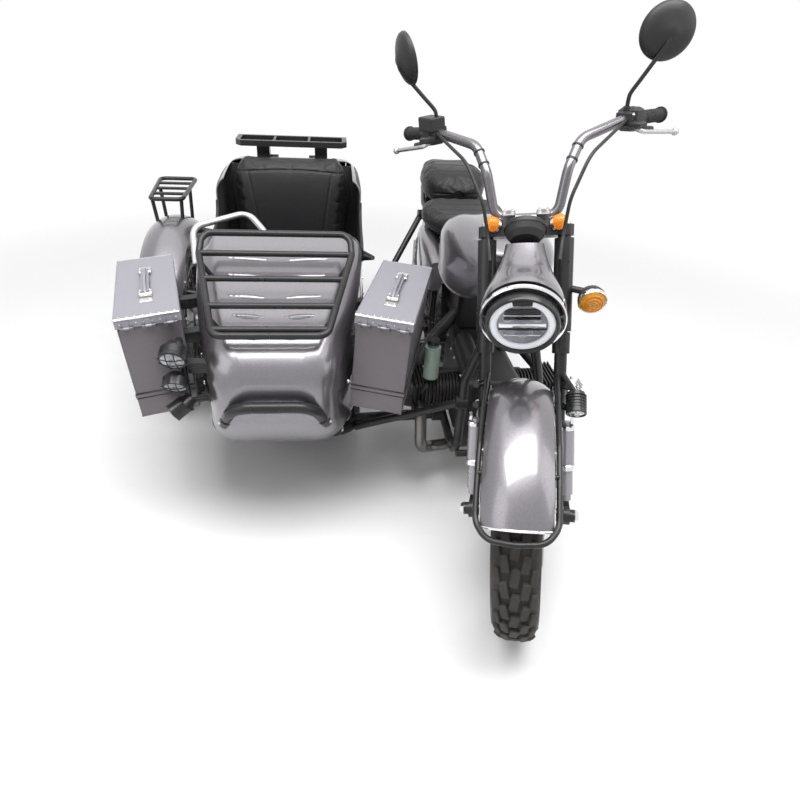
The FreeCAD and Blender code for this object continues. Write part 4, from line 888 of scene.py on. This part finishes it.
def fender_rims(work, centre, half, radius, skirt, ends, size):
    """Rolled edges of a fender: along both skirts, and over the crown at each end."""
    at, low, steps, crown_rise = round_axle(centre), radius - skirt, 30, 34.0
    first, last = ends
    for s in (-1, 1):
        work.tube([at(s * half, low + 1, -math.radians(first + (last - first) * k / steps))
                   for k in range(steps + 1)], size, 10, rounding=2)
    shoulder = low + (radius - crown_rise - low) * 0.6
    bend = (half * half + crown_rise * crown_rise) / (2 * crown_rise)
    crown = [(u, radius - bend + math.sqrt(max(0.0, bend * bend - u * u)))
             for u in (half * (k / 6 - 1) for k in range(13))]
    for angle in ends:
        work.tube([at(x, r, -math.radians(angle)) for x, r in
                   [(-half, low), (-half, shoulder), *crown, (half, shoulder), (half, low)]],
                  size - 0.2, 8, rounding=2)


def fender_dressing():
    """Front fender's rims and brackets, and the bolts of fender, links and spring units."""
    rim, bracket, bolts = Work(parked), Work(parked), Work(parked)
    fender_rims(rim, front_axle, fender_half, fender_radius, fender_skirt, (-58, 51.5), 3.4)
    at, foot = round_axle(front_axle), leg_point(575)
    for s in (-1, 1):
        out = s * left
        plate = way(s * (fender_half + 4), foot.y - 6, foot.z - 4)
        bracket.slab(plate, (5, 54, 34), 0, 1.2)
        for y in (-16, 0, 16):
            spot = plate + way(s * 2.4, y, 0)
            bracket.hoop([(0, 6.5), (1.6, 6.5), (1.6, 4.0), (0, 4.0)], spot, out, 18)
            bolts.lathe([(0, 3.8), (0.8, 3.8), (0.8, 0.5)], spot, out, 14, 1)
        for angle in (-40, -12, 20, 44):
            spot = at(s * (fender_half - 0.5), fender_radius - fender_skirt + 16, -math.radians(angle))
            bolts.bolt(spot, out, 3.6, 3.4)
        for z in (600, 552):
            bolts.bolt(leg_point(z, s * (leg_half + 16.5)), out, 6, 6)
        axle_nut = [(0, 17), (3, 17.4), (5, 16), (9, 15.5), (13, 12), (13, 0.5)]
        bolts.lathe(axle_nut, at(s * 144, 0, 0), out, 6, 2)
        bolts.lathe([(-2, 15), (3, 15), (4, 13), (4, 8), (8, 8), (9, 6), (9, 0.5)],
                    Vector(front_axle) + way(s * 138, 150, -22), out, 24, 2)
        shock_top = way(s * 118, shock_top_y, shock_top_z)
        shock_foot = Vector(front_axle) + way(s * 126, 34, 26)
        bolts.lathe([(0, 11), (6, 11), (8, 9), (8, 0.5)], shock_top + out * 11, out, 6, 2)
        span = shock_top - shock_foot
        for band in (((0.40, 22.6), (0.42, 23.4), (0.46, 23.4), (0.47, 21.4), (0.40, 18)),
                     ((0.90, 21.2), (0.91, 23), (0.945, 23), (0.955, 18), (0.90, 18))):
            bolts.hoop([(share * span.length, radius) for share, radius in band], shock_foot, span, 32, 2)
    piece("front_fender_rim", "steering", rim, chrome)
    piece("fender_brackets", "steering", bracket, cast_metal)
    piece("front_end_bolts", "steering", bolts, [zinc, satin_black, chrome])


headlamp_face()
signal_lenses()
auxiliary_face()
instrument_face()
bar_fittings()
fender_dressing()


# ------------------------------------------------------------------ motorcycle
rear_fender_half, rear_fender_radius, rear_fender_skirt = 92, 388, 80
tail = Vector(round_axle((0, 0, tyre_radius))(0, rear_fender_radius, math.radians(62)))    # rear lamp's seat


def sidecar_lamp(s):
    return way(sidecar_x + s * 140, 386, 470)


def tank_dressing():
    """Filler cap with its finger grips."""
    work = Work()
    spot, out = touch(skin_of("fuel_tank"), (0, -800, sky), down)
    work.lathe([(-3, 34), (3, 34), (6, 31), (12, 30), (15, 27), (17, 12), (17, 0.5)], spot, out, 40, 1)
    for t in turns(12):
        radial = way(math.cos(t), math.sin(t), 0)
        work.slab(spot + radial * 30.4 + top * 9, (3, 6, 6), 1, 0.8, (radial, top.cross(radial), top))
    piece("filler_cap", "chassis", work, [plastic, chrome])


def engine_dressing():
    """Cover bolts, rocker cover ribs, plug caps, case bolts and the oil filler."""
    bolts, cast = Work(), Work()
    cover, barrel_end = way(0, -1012, 355), 254
    for spot in circle(cover, ahead, 76, 10, left):
        bolts.bolt(spot, ahead, 4.4, 4.6)
    cast.lathe([(0, 58), (5, 57), (7, 50), (5, 46), (5, 22), (9, 18), (10, 0.5)], cover, ahead, 48)
    case_bolts = [(96, y, z) for y in (-960, -900, -780, -715) for z in (205, 430)]
    case_bolts += [(78, y, z) for z in (215, 405) for y in (-660, -560)]
    for s in (-1, 1):
        out = s * left
        for y in (-31.68, 31.68):
            for z in (-21.08, 21.08):
                bolts.bolt((s * (barrel_end + 80), y - 850, z + 345), out, 5, 5)
        for k in (-2, -1, 0, 1, 2):
            cast.slab((s * (barrel_end + 103), -850, 345 + k * 11), (6, 62 - 8 * abs(k), 4), 0, 1.2)
        cast.tube([(s * (barrel_end + x), y, z) for x, y, z in
                   ((-30, -912, 372), (-24, -938, 392), (-34, -950, 424))], 7, 12, 1)
        for x, y, z in case_bolts:
            bolts.bolt((s * x, y, z), out, 4.2, 4.2)
    cast.lathe([(0, 16), (4, 16), (6, 13), (12, 12), (14, 9), (14, 0.5)], (74, -760, 452), top, 24, 1)
    piece("engine_bolts", "chassis", bolts, zinc)
    piece("engine_fittings", "chassis", cast, [cast_metal, plastic])


def rear_dressing():
    """Fender rims, lamp glasses, plate surround, drive bolts and axle nuts."""
    rim, glass, bolts, plate_edge = Work(), Work(), Work(), Work()
    fender_rims(rim, (0, 0, tyre_radius), rear_fender_half, rear_fender_radius, rear_fender_skirt,
                (-112, 58), 3.6)
    lamp, look = tail + way(0, 22, 8), (0, 1, 0.1)
    glass.dome([(10, 40.8), (17, 40.6), (25, 30), (27.5, 12), (27.8, 0.5)], lamp, look, 44)
    bolts.hoop([(6, 41.6), (13, 42), (14.5, 40.4), (6, 40)], lamp, look, 44, 1)
    for s in (-1, 1):
        lamp = sidecar_lamp(s)
        glass.dome([(12, 26.4), (15, 26.2), (24.5, 16.4), (27, 8), (27.4, 0.5)], lamp, rearward, 36)
        bolts.hoop([(3, 26.8), (13, 27.2), (14.5, 26), (3, 25.4)], lamp, rearward, 36, 1)
        bolts.bolt(tail + way(s * 66, 37, -62), rearward, 3.4, 3)
        for y, z in ((-70, 364), (-150, 682)):
            bolts.lathe([(0, 20), (5, 20), (8, 16), (8, 0.5)], (s * 150, y, z), s * left, 6, 1)
    for spot in circle(way(-150, 0, tyre_radius), left, 58, 8, rearward):
        bolts.bolt(spot, -left, 4.4, 4)
    bolts.lathe([(0, 19), (6, 19), (8, 17), (16, 12), (18, 0.5)], (140, 0, tyre_radius), left, 6, 1)
    bolts.lathe([(0, 17), (5, 17), (8, 14), (8, 0.5)], (-160, 0, tyre_radius), -left, 24, 1)
    plate_edge.tube([tail + way(x, 37.5, z) for x, z in ((-103, -178), (103, -178), (103, -48), (-103, -48))],
                    2.2, 8, closed=True, rounding=1)
    piece("rear_fender_rim", "chassis", rim, chrome)
    piece("rear_lamp_glass", "chassis", glass, red_glass)
    piece("rear_bolts", "chassis", bolts, [zinc, chrome])
    piece("plate_edge", "chassis", plate_edge, satin_black)


tank_dressing()
engine_dressing()
rear_dressing()


# ------------------------------------------------------------------ sidecar
tub, trunk = skin_of("sidecar_tub"), skin_of("trunk_lid")


def mirror_heads():
    """Mirrors on their stems, the rider's right one turned further in."""
    work, glass = Work(parked), Work(parked)
    for s, look in ((1, unit(-0.15, 0.98, 0.1)), (-1, unit(0.86, 0.49, 0.12))):
        root = bar_point(0.05, s)
        base = way(s * 318, -905, 1404) - look * 22
        knee, stop = root + way(s * 2, -6, 58), base + way(0, 0, -14)
        straight = [between(knee, stop, share) for share in (0.06, 0.3, 0.6, 0.94)]
        work.tube([root + top * 16, knee - top * 8, *straight, base + look * 4], 5.2, 14, rounding=6)
        work.lathe([(-4, 8), (0, 17), (5, 30), (10, 44), (16, 56), (22, 62.5), (27, 64.3), (31, 64.3),
                    (32.2, 62.6), (31, 61.2), (30.2, 61)], base, look, 56)
        work.lathe([(0, 9), (14, 9), (16, 7), (16, 0.5)], root + top * 17, top, 6)
        glass.lathe([(30.4, 61.2), (31.2, 60.2), (31.4, 0.5)], base, look, 48)
    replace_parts(piece("mirrors_on_stems", "steering", work, plastic), "mirrors")
    piece("mirror_glass", "steering", glass, mirror_glass)


def dark_shoulder_patches():
    """Near-black raised patches on the tub's shoulders beside the seat, their borders let into the skin."""
    work = Work()
    rows, columns, lift, sunk = 14, 9, 2.6, -0.6
    for s in (-1, 1):
        base = len(work.points)
        for i in range(rows):
            share = i / (rows - 1)
            y, low = 300 * share - 218, 790 + 26 * share
            high = crest(tub, s * 252, y)[0].z - 1.5
            for j in range(columns):
                spot, out = flank(tub, s, y, low + (high - low) * j / (columns - 1))
                border = j in (0, columns - 1) or i in (0, rows - 1)
                work.points.append(machine(*(spot + out * (sunk if border else lift))))
        for i in range(rows - 1):
            for j in range(columns - 1):
                a = base + i * columns + j
                work.face((a, a + 1, a + columns + 1, a + columns))
    piece("dark_shoulder_patches", "chassis", work, plastic, 50)


def rib(work, skin, spots, sunk, radii, steps):
    """Pressed bead over a row of spots, most of it under the skin."""
    met = filter(None, (crest(skin, x, y) for x, y in spots))
    work.tube([spot - out * sunk for spot, out in met], radii, steps)


def pressed_ribs():
    """Long ribs pressed up out of the nose deck, in pairs between the rack's bars."""
    work = Work()
    radii = (7.0, 9.5, 11.5, 12.8, 13.2, 12.8, 11.5, 9.5, 7.0)
    root, bow = 18, 10
    for y, reach in ((-1128, 96), (-1060, 122), (-985, 140), (-905, 152), (-838, 160)):
        for s in (-1, 1):
            spots = [(s * (root + (reach - root) * k / 8), y + bow * (k / 8) ** 2) for k in range(9)]
            rib(work, tub, spots, 8, radii, 18)
    piece("nose_ribs", "chassis", work, paint, 60)


def side_flange():
    """Rubber-faced flange along both flanks, with its bolts."""
    strip, bolts = Work(), Work()
    for s in (-1, 1):
        rows = []
        for k in range(41):
            met = flank(tub, s, -1150 + 1470 * k / 40, 520 + 26 * math.sin(math.pi * k / 40))
            if not met:
                continue
            section = ((-1, 16), (5, 13), (6.5, 0), (5, -13), (-1, -16))
            rows.append([met[0] + way(s * x, 0, z) for x, z in section])
            if k % 4 == 2:
                bolts.bolt(met[0] + way(s * 6.2, 0, 0), s * left, 4.6, 4.4)
        strip.rings(rows)
    piece("flank_flange", "chassis", strip, satin_black)
    piece("flank_bolts", "chassis", bolts, chrome)


def mouth_edging():
    """Rubber moulding pushed over the cockpit's cut edge."""
    work = Work()
    half = [(27.75 * k, -711, crest(tub, 27.75 * k, -713)[0].z - 1) for k in range(9)]
    for y, z in ((-708, 800), (-700, 776), (-686, 758), (-666, 746), (-640, 739), (-560, 738.5),
                 (-480, 738.5), (-400, 738.5), (-330, 739), (-294, 748), (-262, 766), (-240, 790),
                 (-229, 816)):
        half.append((flank(tub, 1, y, z)[0].x - sidecar_x - 2, y, z))
    other_half = [(-x, y, z) for x, y, z in reversed(half[1:])]
    work.tube([(sidecar_x + x, y, z) for x, y, z in other_half + half], 6.0, 12, rounding=3)
    piece("mouth_edging", "chassis", work, grip_rubber)


def bumper_castings():
    """Bolted ends that hold the bumper hoop to the sidecar's frame."""
    cast, bolts = Work(), Work()
    for s in (-1, 1):
        a, b = way(sidecar_x + s * 172, -880, 212), way(sidecar_x + s * 172, -1000, 262)
        cast.lathe([(6, 17), (8, 23), (70, 21), (84, 17)], a, b - a, 24)
        for share in (0.25, 0.5):
            bolts.bolt(between(a, b, share) + way(s * 21, 0, 0), s * left, 5, 5)
        a, b = way(sidecar_x + s * 168, -1130, 380), way(sidecar_x + s * 108, -1240, 545)
        cast.lathe([(0, 16.4), (2, 19.4), (34, 19.4), (36, 16.4)], between(a, b, 0.42), b - a, 24)
        bolts.bolt(between(a, b, 0.5) + way(s * 17, -8, 0), (s * 0.9, -0.4, 0), 4, 4)
    piece("bumper_castings", "chassis", cast, satin_black)
    piece("bumper_bolts", "chassis", bolts, zinc)


def sidecar_fender_dressing():
    """Rolled edges and bolts of the sidecar's fender, and its wheel's axle end."""
    rim, bolts = Work(), Work()
    centre, half, radius, skirt = (-1140, -280, 355), 80, 400, 76
    at = round_axle(centre)
    fender_rims(rim, centre, half, radius, skirt, (-98, 66), 3.6)
    for angle in (-70, -30, 10, 45):
        for s in (-1, 1):
            spot = at(s * (half - 0.5), radius - skirt + 22, -math.radians(angle))
            bolts.bolt(spot, s * left, 3.8, 3.6)
    axle_end = Vector(sidecar_axle) - left * 80
    bolts.lathe([(0, 18), (4, 18.4), (8, 15), (14, 12), (15, 0.5)], axle_end, -left, 6)
    piece("sidecar_fender_rim", "chassis", rim, satin_black)
    piece("sidecar_fender_bolts", "chassis", bolts, zinc)


def work_lamp_faces():
    """Reflector cells, glasses, bezels and wire guards of the three driving lamps."""
    shell, glass = Work(), Work()
    for centre, look, r, long, cells in (
            ((-942, -1150, 690), unit(-0.05, -0.9, -0.42), 36, 52, 6),
            ((-952, -1150, 600), unit(-0.05, -0.8, -0.6), 34, 40, 6),
            ((-925, -1140, 512), unit(-0.75, -0.5, -0.43), 26, 66, 0)):
        base, across = Vector(centre), square_to(look)

        def turned(form, spot=base, steps=36, finish=1, look=look, long=long, make=glass.lathe):
            make([(long + reach, radius) for reach, radius in form], spot, look, steps, finish)
        turned([(-12, r + 0.4), (1, r + 1.2), (3, r - 1), (2, r - 5), (-3, r - 5)], base, 40, 0,
               make=shell.hoop)
        for k in range(4):
            fin = long * (0.12 * k - 0.58)
            turned([(fin, r - 2), (fin + 0.6, r + 1.2), (fin + 2, r + 1.2), (fin + 2.6, r - 2)], finish=0,
                   make=shell.hoop)
        turned([(0.4, r - 5), (0.6, 0.5)], finish=3 if cells else 2)
        for spot in circle(base, look, r * 0.55, cells):
            turned([(0.8, 8.4), (2.2, 7.6), (2.2, 5.8), (1.0, 3), (1, 0.5)], spot, 18, 3)
        turned([(0.8, 8.4), (2.6, 7.0), (4.0, 3.6), (4.4, 0.5)], steps=18)
        turned([(2.0, r - 5.2), (4.6, r * 0.6), (5.8, r * 0.3), (6.2, 0.5)], make=glass.dome)
        for turn in (across, look.cross(across)) if cells else ():
            side = look.cross(turn).normalized()
            for s in (-1, 1):
                shell.tube([base + turn * (r + 2) * u + side * (s * r * 0.3) + look * (long + 10 - 9 * u * u)
                            for u in (-1, -0.6, -0.2, 0.2, 0.6, 1)], 1.6, 8, rounding=3)
    piece("work_lamp_bezels", "chassis", shell, dark_bezel)
    piece("work_lamp_glass", "chassis", glass, [reflector, clear_glass, dark_bezel, cell_white])


def trunk_dressing():
    """Ribs of the trunk's lid, and its lock."""
    work = Work()
    for x in (-150, 0, 150):
        rib(work, trunk, [(x, 190 + 130 * k / 8) for k in range(9)], 4.5,
            (2.0, 6.5, 8.0, 8.5, 8.5, 8.5, 8.0, 6.5, 2.0), 14)
    spot, out = crest(trunk, 0, 350)
    work.lathe([(-2, 17), (2, 17), (4, 14), (4, 9), (3, 8), (3, 0.5)], spot, out, 28, 1)
    work.slab(spot + out * 3.4, (1.6, 9, 1.2), 2, 0.3)
    piece("trunk_ribs", "trunk_lid", work, [paint, chrome, plastic], 60)


def boxes_dressing():
    """Rolled lid edges, rivets, carrying straps, catches and corner seams of both steel boxes."""
    wide, long, deep, lid_drop, inset = 165.0, 428.0, 310.0, 28.0, 4.2
    for name, side, corner, lid_body in (("inner_box", 1, (-466.0, -1092.0, 752.0), "inner_lid"),
                                         ("outer_box", -1, (-930.0, -1108.0, 768.0), "outer_lid")):
        swing, lean = math.radians(-side * 15), math.radians(side * 3)
        turn = Matrix.Rotation(swing, 3, "Z") @ Matrix.Rotation(lean, 3, "Y")

        def place(x, y, z, side=side, corner=corner, turn=turn):
            return machine(*(Vector(corner) + turn @ way(side * x, y, z)))

        def frame_round(work, gap, z, radius, steps, finish):
            a, b = wide - gap, long - gap
            work.tube([(gap, gap, z), (gap, b, z), (a, b, z), (a, gap, z)], radius, steps, finish, True, 1)
        lid, wall = Work(place), Work(place)
        edges = [((1, 1), (wide - 1, 1), 3.0, 1), ((1, long - 1), (wide - 1, long - 1), 2.2, 0)]
        edges += [((x, 1), (x, long - 1), 2.2, 0) for x in (1, wide - 1)]
        for a, b, radius, finish in edges:
            lid.tube([(*a, -1), (*b, -1)], radius, 10, finish, rounding=1)
        frame_round(lid, 0.4, -25, 1.3, 8, 0)
        middle = wide / 2
        lid.tube([(middle, y, z) for y, z in ((126, 8), (150, 17), (215, 20), (280, 17), (304, 8))], 5.0, 12)
        for y in (135, 295):
            lid.slab((middle, y, 6), (36, 32, 11), 1, 2.5)
            lid.slab((middle, y, 12.2), (26, 10, 3), 0, 1)
            for x in (-13, 13):
                for dy in (-10, 10):
                    lid.rivet((middle + x, y + dy, 11.5), top, 2.6, 1)
        for y in (100, 330):
            lid.slab((middle, y, 1.2), (34, 24, 2.2), 1, 0.8)
            for x in (-10, 10):
                lid.rivet((middle + x, y, 2.2), top, 2.6, 1)
        for x in range(12, 153, 20):
            lid.rivet((x, 0.1, -15), ahead, 1.9, 1)
            lid.rivet((x, 12, -0.1), top, 1.9, 1)
        for x, out in ((0.1, -left), (wide - 0.1, left)):
            for y in range(34, 395, 60):
                lid.rivet((x, y, -13), out, 2.4)
        for x in (40, 125):
            lid.slab((x, long + 2, -14), (22, 4, 18), 1, 1.2)
            bail = ((-7, 4, -16), (-7, 7, -24), (7, 7, -24), (7, 4, -16))
            lid.tube([(x + dx, long + y, z) for dx, y, z in bail], 1.5, 8, 1, rounding=2)
            wall.slab((x, long + 0.5, -58), (24, 8, 44), 1, 1.5)
            wall.slab((x, long + 6, -52), (16, 5, 34), 1, 2)
            wall.rivet((x, long + 4.5, -74), rearward, 2.8, 1)
        seam = inset + 1
        for x in (seam, wide - seam):
            for y in (seam, long - seam):
                wall.tube([(x, y, 2 - deep), (x, y, -lid_drop)], 2.4, 10, rounding=1)
        frame_round(wall, inset, 1.5 - deep, 2.4, 10, 0)
        for z in (62, 78):
            frame_round(wall, inset - 1, z - deep, 1.6, 8, 2)
        for x, out in ((inset, -left), (wide - inset, left)):
            for y in range(40, 391, 70):
                wall.rivet((x, y, 14 - deep), out, 2.4)
        for x in range(30, 136, 35):
            wall.rivet((x, inset, 14 - deep), ahead, 2.4)
        # lid trim takes the lit copy of the box paint, wall trim the shaded copy
        piece(name + "_lid_trim", lid_body, lid, [lid_paint_lit, zinc, plastic])
        piece(name + "_wall_trim", "chassis", wall, [wall_paint_shaded, zinc, plastic])


mirror_heads()
dark_shoulder_patches()
pressed_ribs()
side_flange()
mouth_edging()
bumper_castings()
sidecar_fender_dressing()
work_lamp_faces()
trunk_dressing()
boxes_dressing()


# ------------------------------------------------------------------ finishes by place
def add_finishes(node, *finishes):
    for finish in finishes:
        nodes[node].data.materials.append(finish)


def paint_wheel(node, centre, place):
    """Cast hub and steel disc: the disc lies between two stations along the axle."""
    disc_inner, disc_outer, disc_radius = 60.5, 66.5, 141
    hub_right, hub_left, hub_reach = 70, 60, 66
    add_finishes(node, cast_metal, disc_steel)
    hub = [Vector(centre) - left * hub_right, Vector(centre) + left * hub_left]
    repaint(node, 1, near_line(hub, hub_reach, place))
    foot = place(*centre)
    along = (place(*(Vector(centre) + left * 1000)) - foot).normalized()

    def on_disc(middle):
        side = (middle - foot).dot(along)
        out = (middle - foot - along * side).length
        return disc_inner < side / MM < disc_outer and out / MM < disc_radius
    repaint(node, 2, on_disc)


add_finishes("hand_controls", cast_metal, grip_rubber)
for s in (1, -1):
    forward = way(s * 26, -52, -26)
    lever_root, lever_tip = bar_point(0.1, s) + forward * 0.9, bar_point(0.98, s) + forward * 1.3
    repaint("hand_controls", 2, near_line([bar_point(0.34, s), bar_point(1.06, s)], 24, parked))
    lever = [lever_root, between(lever_root, lever_tip, 0.4), lever_tip]
    repaint("hand_controls", 1, near_line(lever, 14, parked))
for name, centre, place in wheels:
    paint_wheel(name + "_wheel", centre, place)
# the box lids take the lighter copy of the box paint, a painted light on their tops
for finish, dressed in (
        (cast_metal, ("grab_rail", "brake_caliper")), (pipe_metal, ("exhaust",)),
        (lid_paint_lit, ("inner_box_lid", "outer_box_lid")),
        (satin_black, ("leading_links", "fork_covers", "fork")),
        (bar_metal, ("handlebar",)), (engine_enamel, ("intake",)), (dark_bezel, ("headlight",))):
    for node in dressed:
        dress(node, finish)

dress("rear_lamps", plastic, red_glass, plate_paint)
for spot, reach in ((tail + way(0, 34, 8), 46), (sidecar_lamp(-1) + rearward * 12, 30),
                    (sidecar_lamp(1) + rearward * 12, 30)):
    repaint("rear_lamps", 1, near_line([spot - rearward * 10, spot + rearward * 20], reach))
plate_corner = machine(*(tail + way(0, 33, -46)))
repaint("rear_lamps", 2, lambda spot: spot.y > plate_corner.y and spot.z < plate_corner.z and spot.x > 0)
dress("fluid_bottle", bottle_plastic, plastic)
bracket_x, cap_z = rear_axle.x - 0.1735, 0.5505
repaint("fluid_bottle", 1, lambda spot: spot.x > bracket_x or spot.z > cap_z)
nodes["indicator_lamps"].data.materials.clear()
add_finishes("indicator_lamps", plastic, amber)
for s in (-1, 1):
    stalk = [marker_lamp(s) + way(s * 4, -1, 2), marker_lamp(s) + way(s * 40, -12, 20)]
    repaint("indicator_lamps", 1, near_line(stalk, 24, parked))

# the tub's inward faces and its bulkhead take a near-black finish
add_finishes("sidecar_tub", dark_tub_inside)
tub_middle = machine(sidecar_x, 0, 560)
bulkhead_front, bulkhead_rear = -0.09, 0.01
for face in nodes["sidecar_tub"].data.polygons:
    outward = face.center - tub_middle
    bulkhead = abs(face.normal.y) > 0.85 and bulkhead_front < outward.y < bulkhead_rear
    outward.y = 0
    if bulkhead or face.normal.dot(outward) < 0:
        face.material_index = 1


# ------------------------------------------------------------------ studio
def seen_rays(tree, *kinds):
    """1 for rays of the named kinds, 0 for the others."""
    path = tree.nodes.new("ShaderNodeLightPath").outputs
    seen = path["Is Camera Ray"]
    for kind in kinds:
        seen = maths(tree, "MAXIMUM", seen, path[kind])
    return seen


def studio_floor():
    """Pale floor that fades into white away from the machine."""
    mesh = bpy.data.meshes.new("studio_floor")
    reach, fade_start, fade_end = 14.0, 1.5, 3.4
    corners = [(-reach, -reach, 0), (reach, -reach, 0), (reach, reach, 0), (-reach, reach, 0)]
    mesh.from_pydata(corners, [], [(0, 1, 2, 3)])
    floor = bpy.data.objects.new("studio_floor", mesh)
    bpy.context.scene.collection.objects.link(floor)
    material, tree, shader = start_material("studio_floor_paint", Roughness=0.8)
    skin = use(tree, surface_grain, Scale=3.0, Strength=1.0)
    pale, paler = (0.80, 0.80, 0.81, 1), (0.84, 0.84, 0.845, 1)
    feed(tree, shader["Base Color"], mixed(tree, skin["Mottle"], pale, paler))
    away = add(tree, "VectorMath", place_in(tree))
    away.operation = "LENGTH"
    far = spread(tree, away.outputs["Value"], fade_start, fade_end)
    fade = maths(tree, "MULTIPLY", seen_rays(tree, "Is Glossy Ray"), far)
    surface = tree.nodes["Principled BSDF"].outputs[0]
    joined = add(tree, "MixShader", fade, surface, add(tree, "Emission").outputs[0])
    feed(tree, tree.nodes["Material Output"].inputs["Surface"], joined.outputs[0])
    mesh.materials.append(material)


def studio_world():
    """White all round, dimmer as a light than as a backdrop or a reflection."""
    world = bpy.data.worlds.new("studio_world")
    bpy.context.scene.world = world
    world.use_nodes = True
    tree = world.node_tree
    background = tree.nodes["Background"].inputs
    as_light, as_backdrop = 0.40, 1.0
    seen = seen_rays(tree, "Is Glossy Ray", "Is Transmission Ray")
    strength = add(tree, "MapRange", seen, 0.0, 1.0, as_light, as_backdrop)
    background["Color"].default_value = (1, 1, 1, 1)
    feed(tree, background["Strength"], strength.outputs[0])


def soft_lamp(name, place, aim, size, watts):
    light = bpy.data.lights.new(name, "AREA")
    light.shape = "RECTANGLE"
    light.size, light.size_y = size
    light.energy = watts
    lamp = bpy.data.objects.new(name, light)
    bpy.context.scene.collection.objects.link(lamp)
    lamp.location = place
    lamp.rotation_euler = (Vector(aim) - Vector(place)).to_track_quat("-Z", "Y").to_euler()


def viewpoint():
    """Camera high in front of the sidecar, looking down along the machine."""
    pitch, yaw, roll = math.radians(32.71), math.radians(6.52), math.radians(3.1)
    level, across = way(math.sin(yaw), math.cos(yaw), 0), way(math.cos(yaw), -math.sin(yaw), 0)
    forward = level * math.cos(pitch) - top * math.sin(pitch)
    over = level * math.sin(pitch) + top * math.cos(pitch)
    right = across * math.cos(roll) + over * math.sin(roll)
    up = over * math.cos(roll) - across * math.sin(roll)
    lens = bpy.data.cameras.new("viewpoint")
    lens.sensor_width = 36.0
    lens.lens = 26.04
    lens.shift_x, lens.shift_y = 0.0139, -0.0212
    lens.clip_end = 60.0
    camera = bpy.data.objects.new("viewpoint", lens)
    bpy.context.scene.collection.objects.link(camera)
    turn = Matrix((right, up, -forward)).transposed().to_4x4()
    camera.matrix_world = Matrix.Translation(machine(-527.31, -2534.46, 1458.41)) @ turn
    bpy.context.scene.camera = camera


studio_floor()
studio_world()
soft_lamp("overhead_panel", (0.2, 0.9, 3.6), (0.0, 0.2, 0.4), (5.0, 3.0), 40)
soft_lamp("overhead_strip", (0.0, -1.0, 3.3), (0.0, -0.8, 0.4), (3.8, 1.7), 165)
soft_lamp("left_panel", (-3.4, -2.4, 2.4), (0.0, 0.0, 0.5), (2.4, 2.4), 30)
soft_lamp("right_panel", (3.4, -1.4, 2.4), (0.2, 0.0, 0.5), (2.0, 2.4), 26)
viewpoint()
bpy.context.scene.view_settings.view_transform = "Standard"
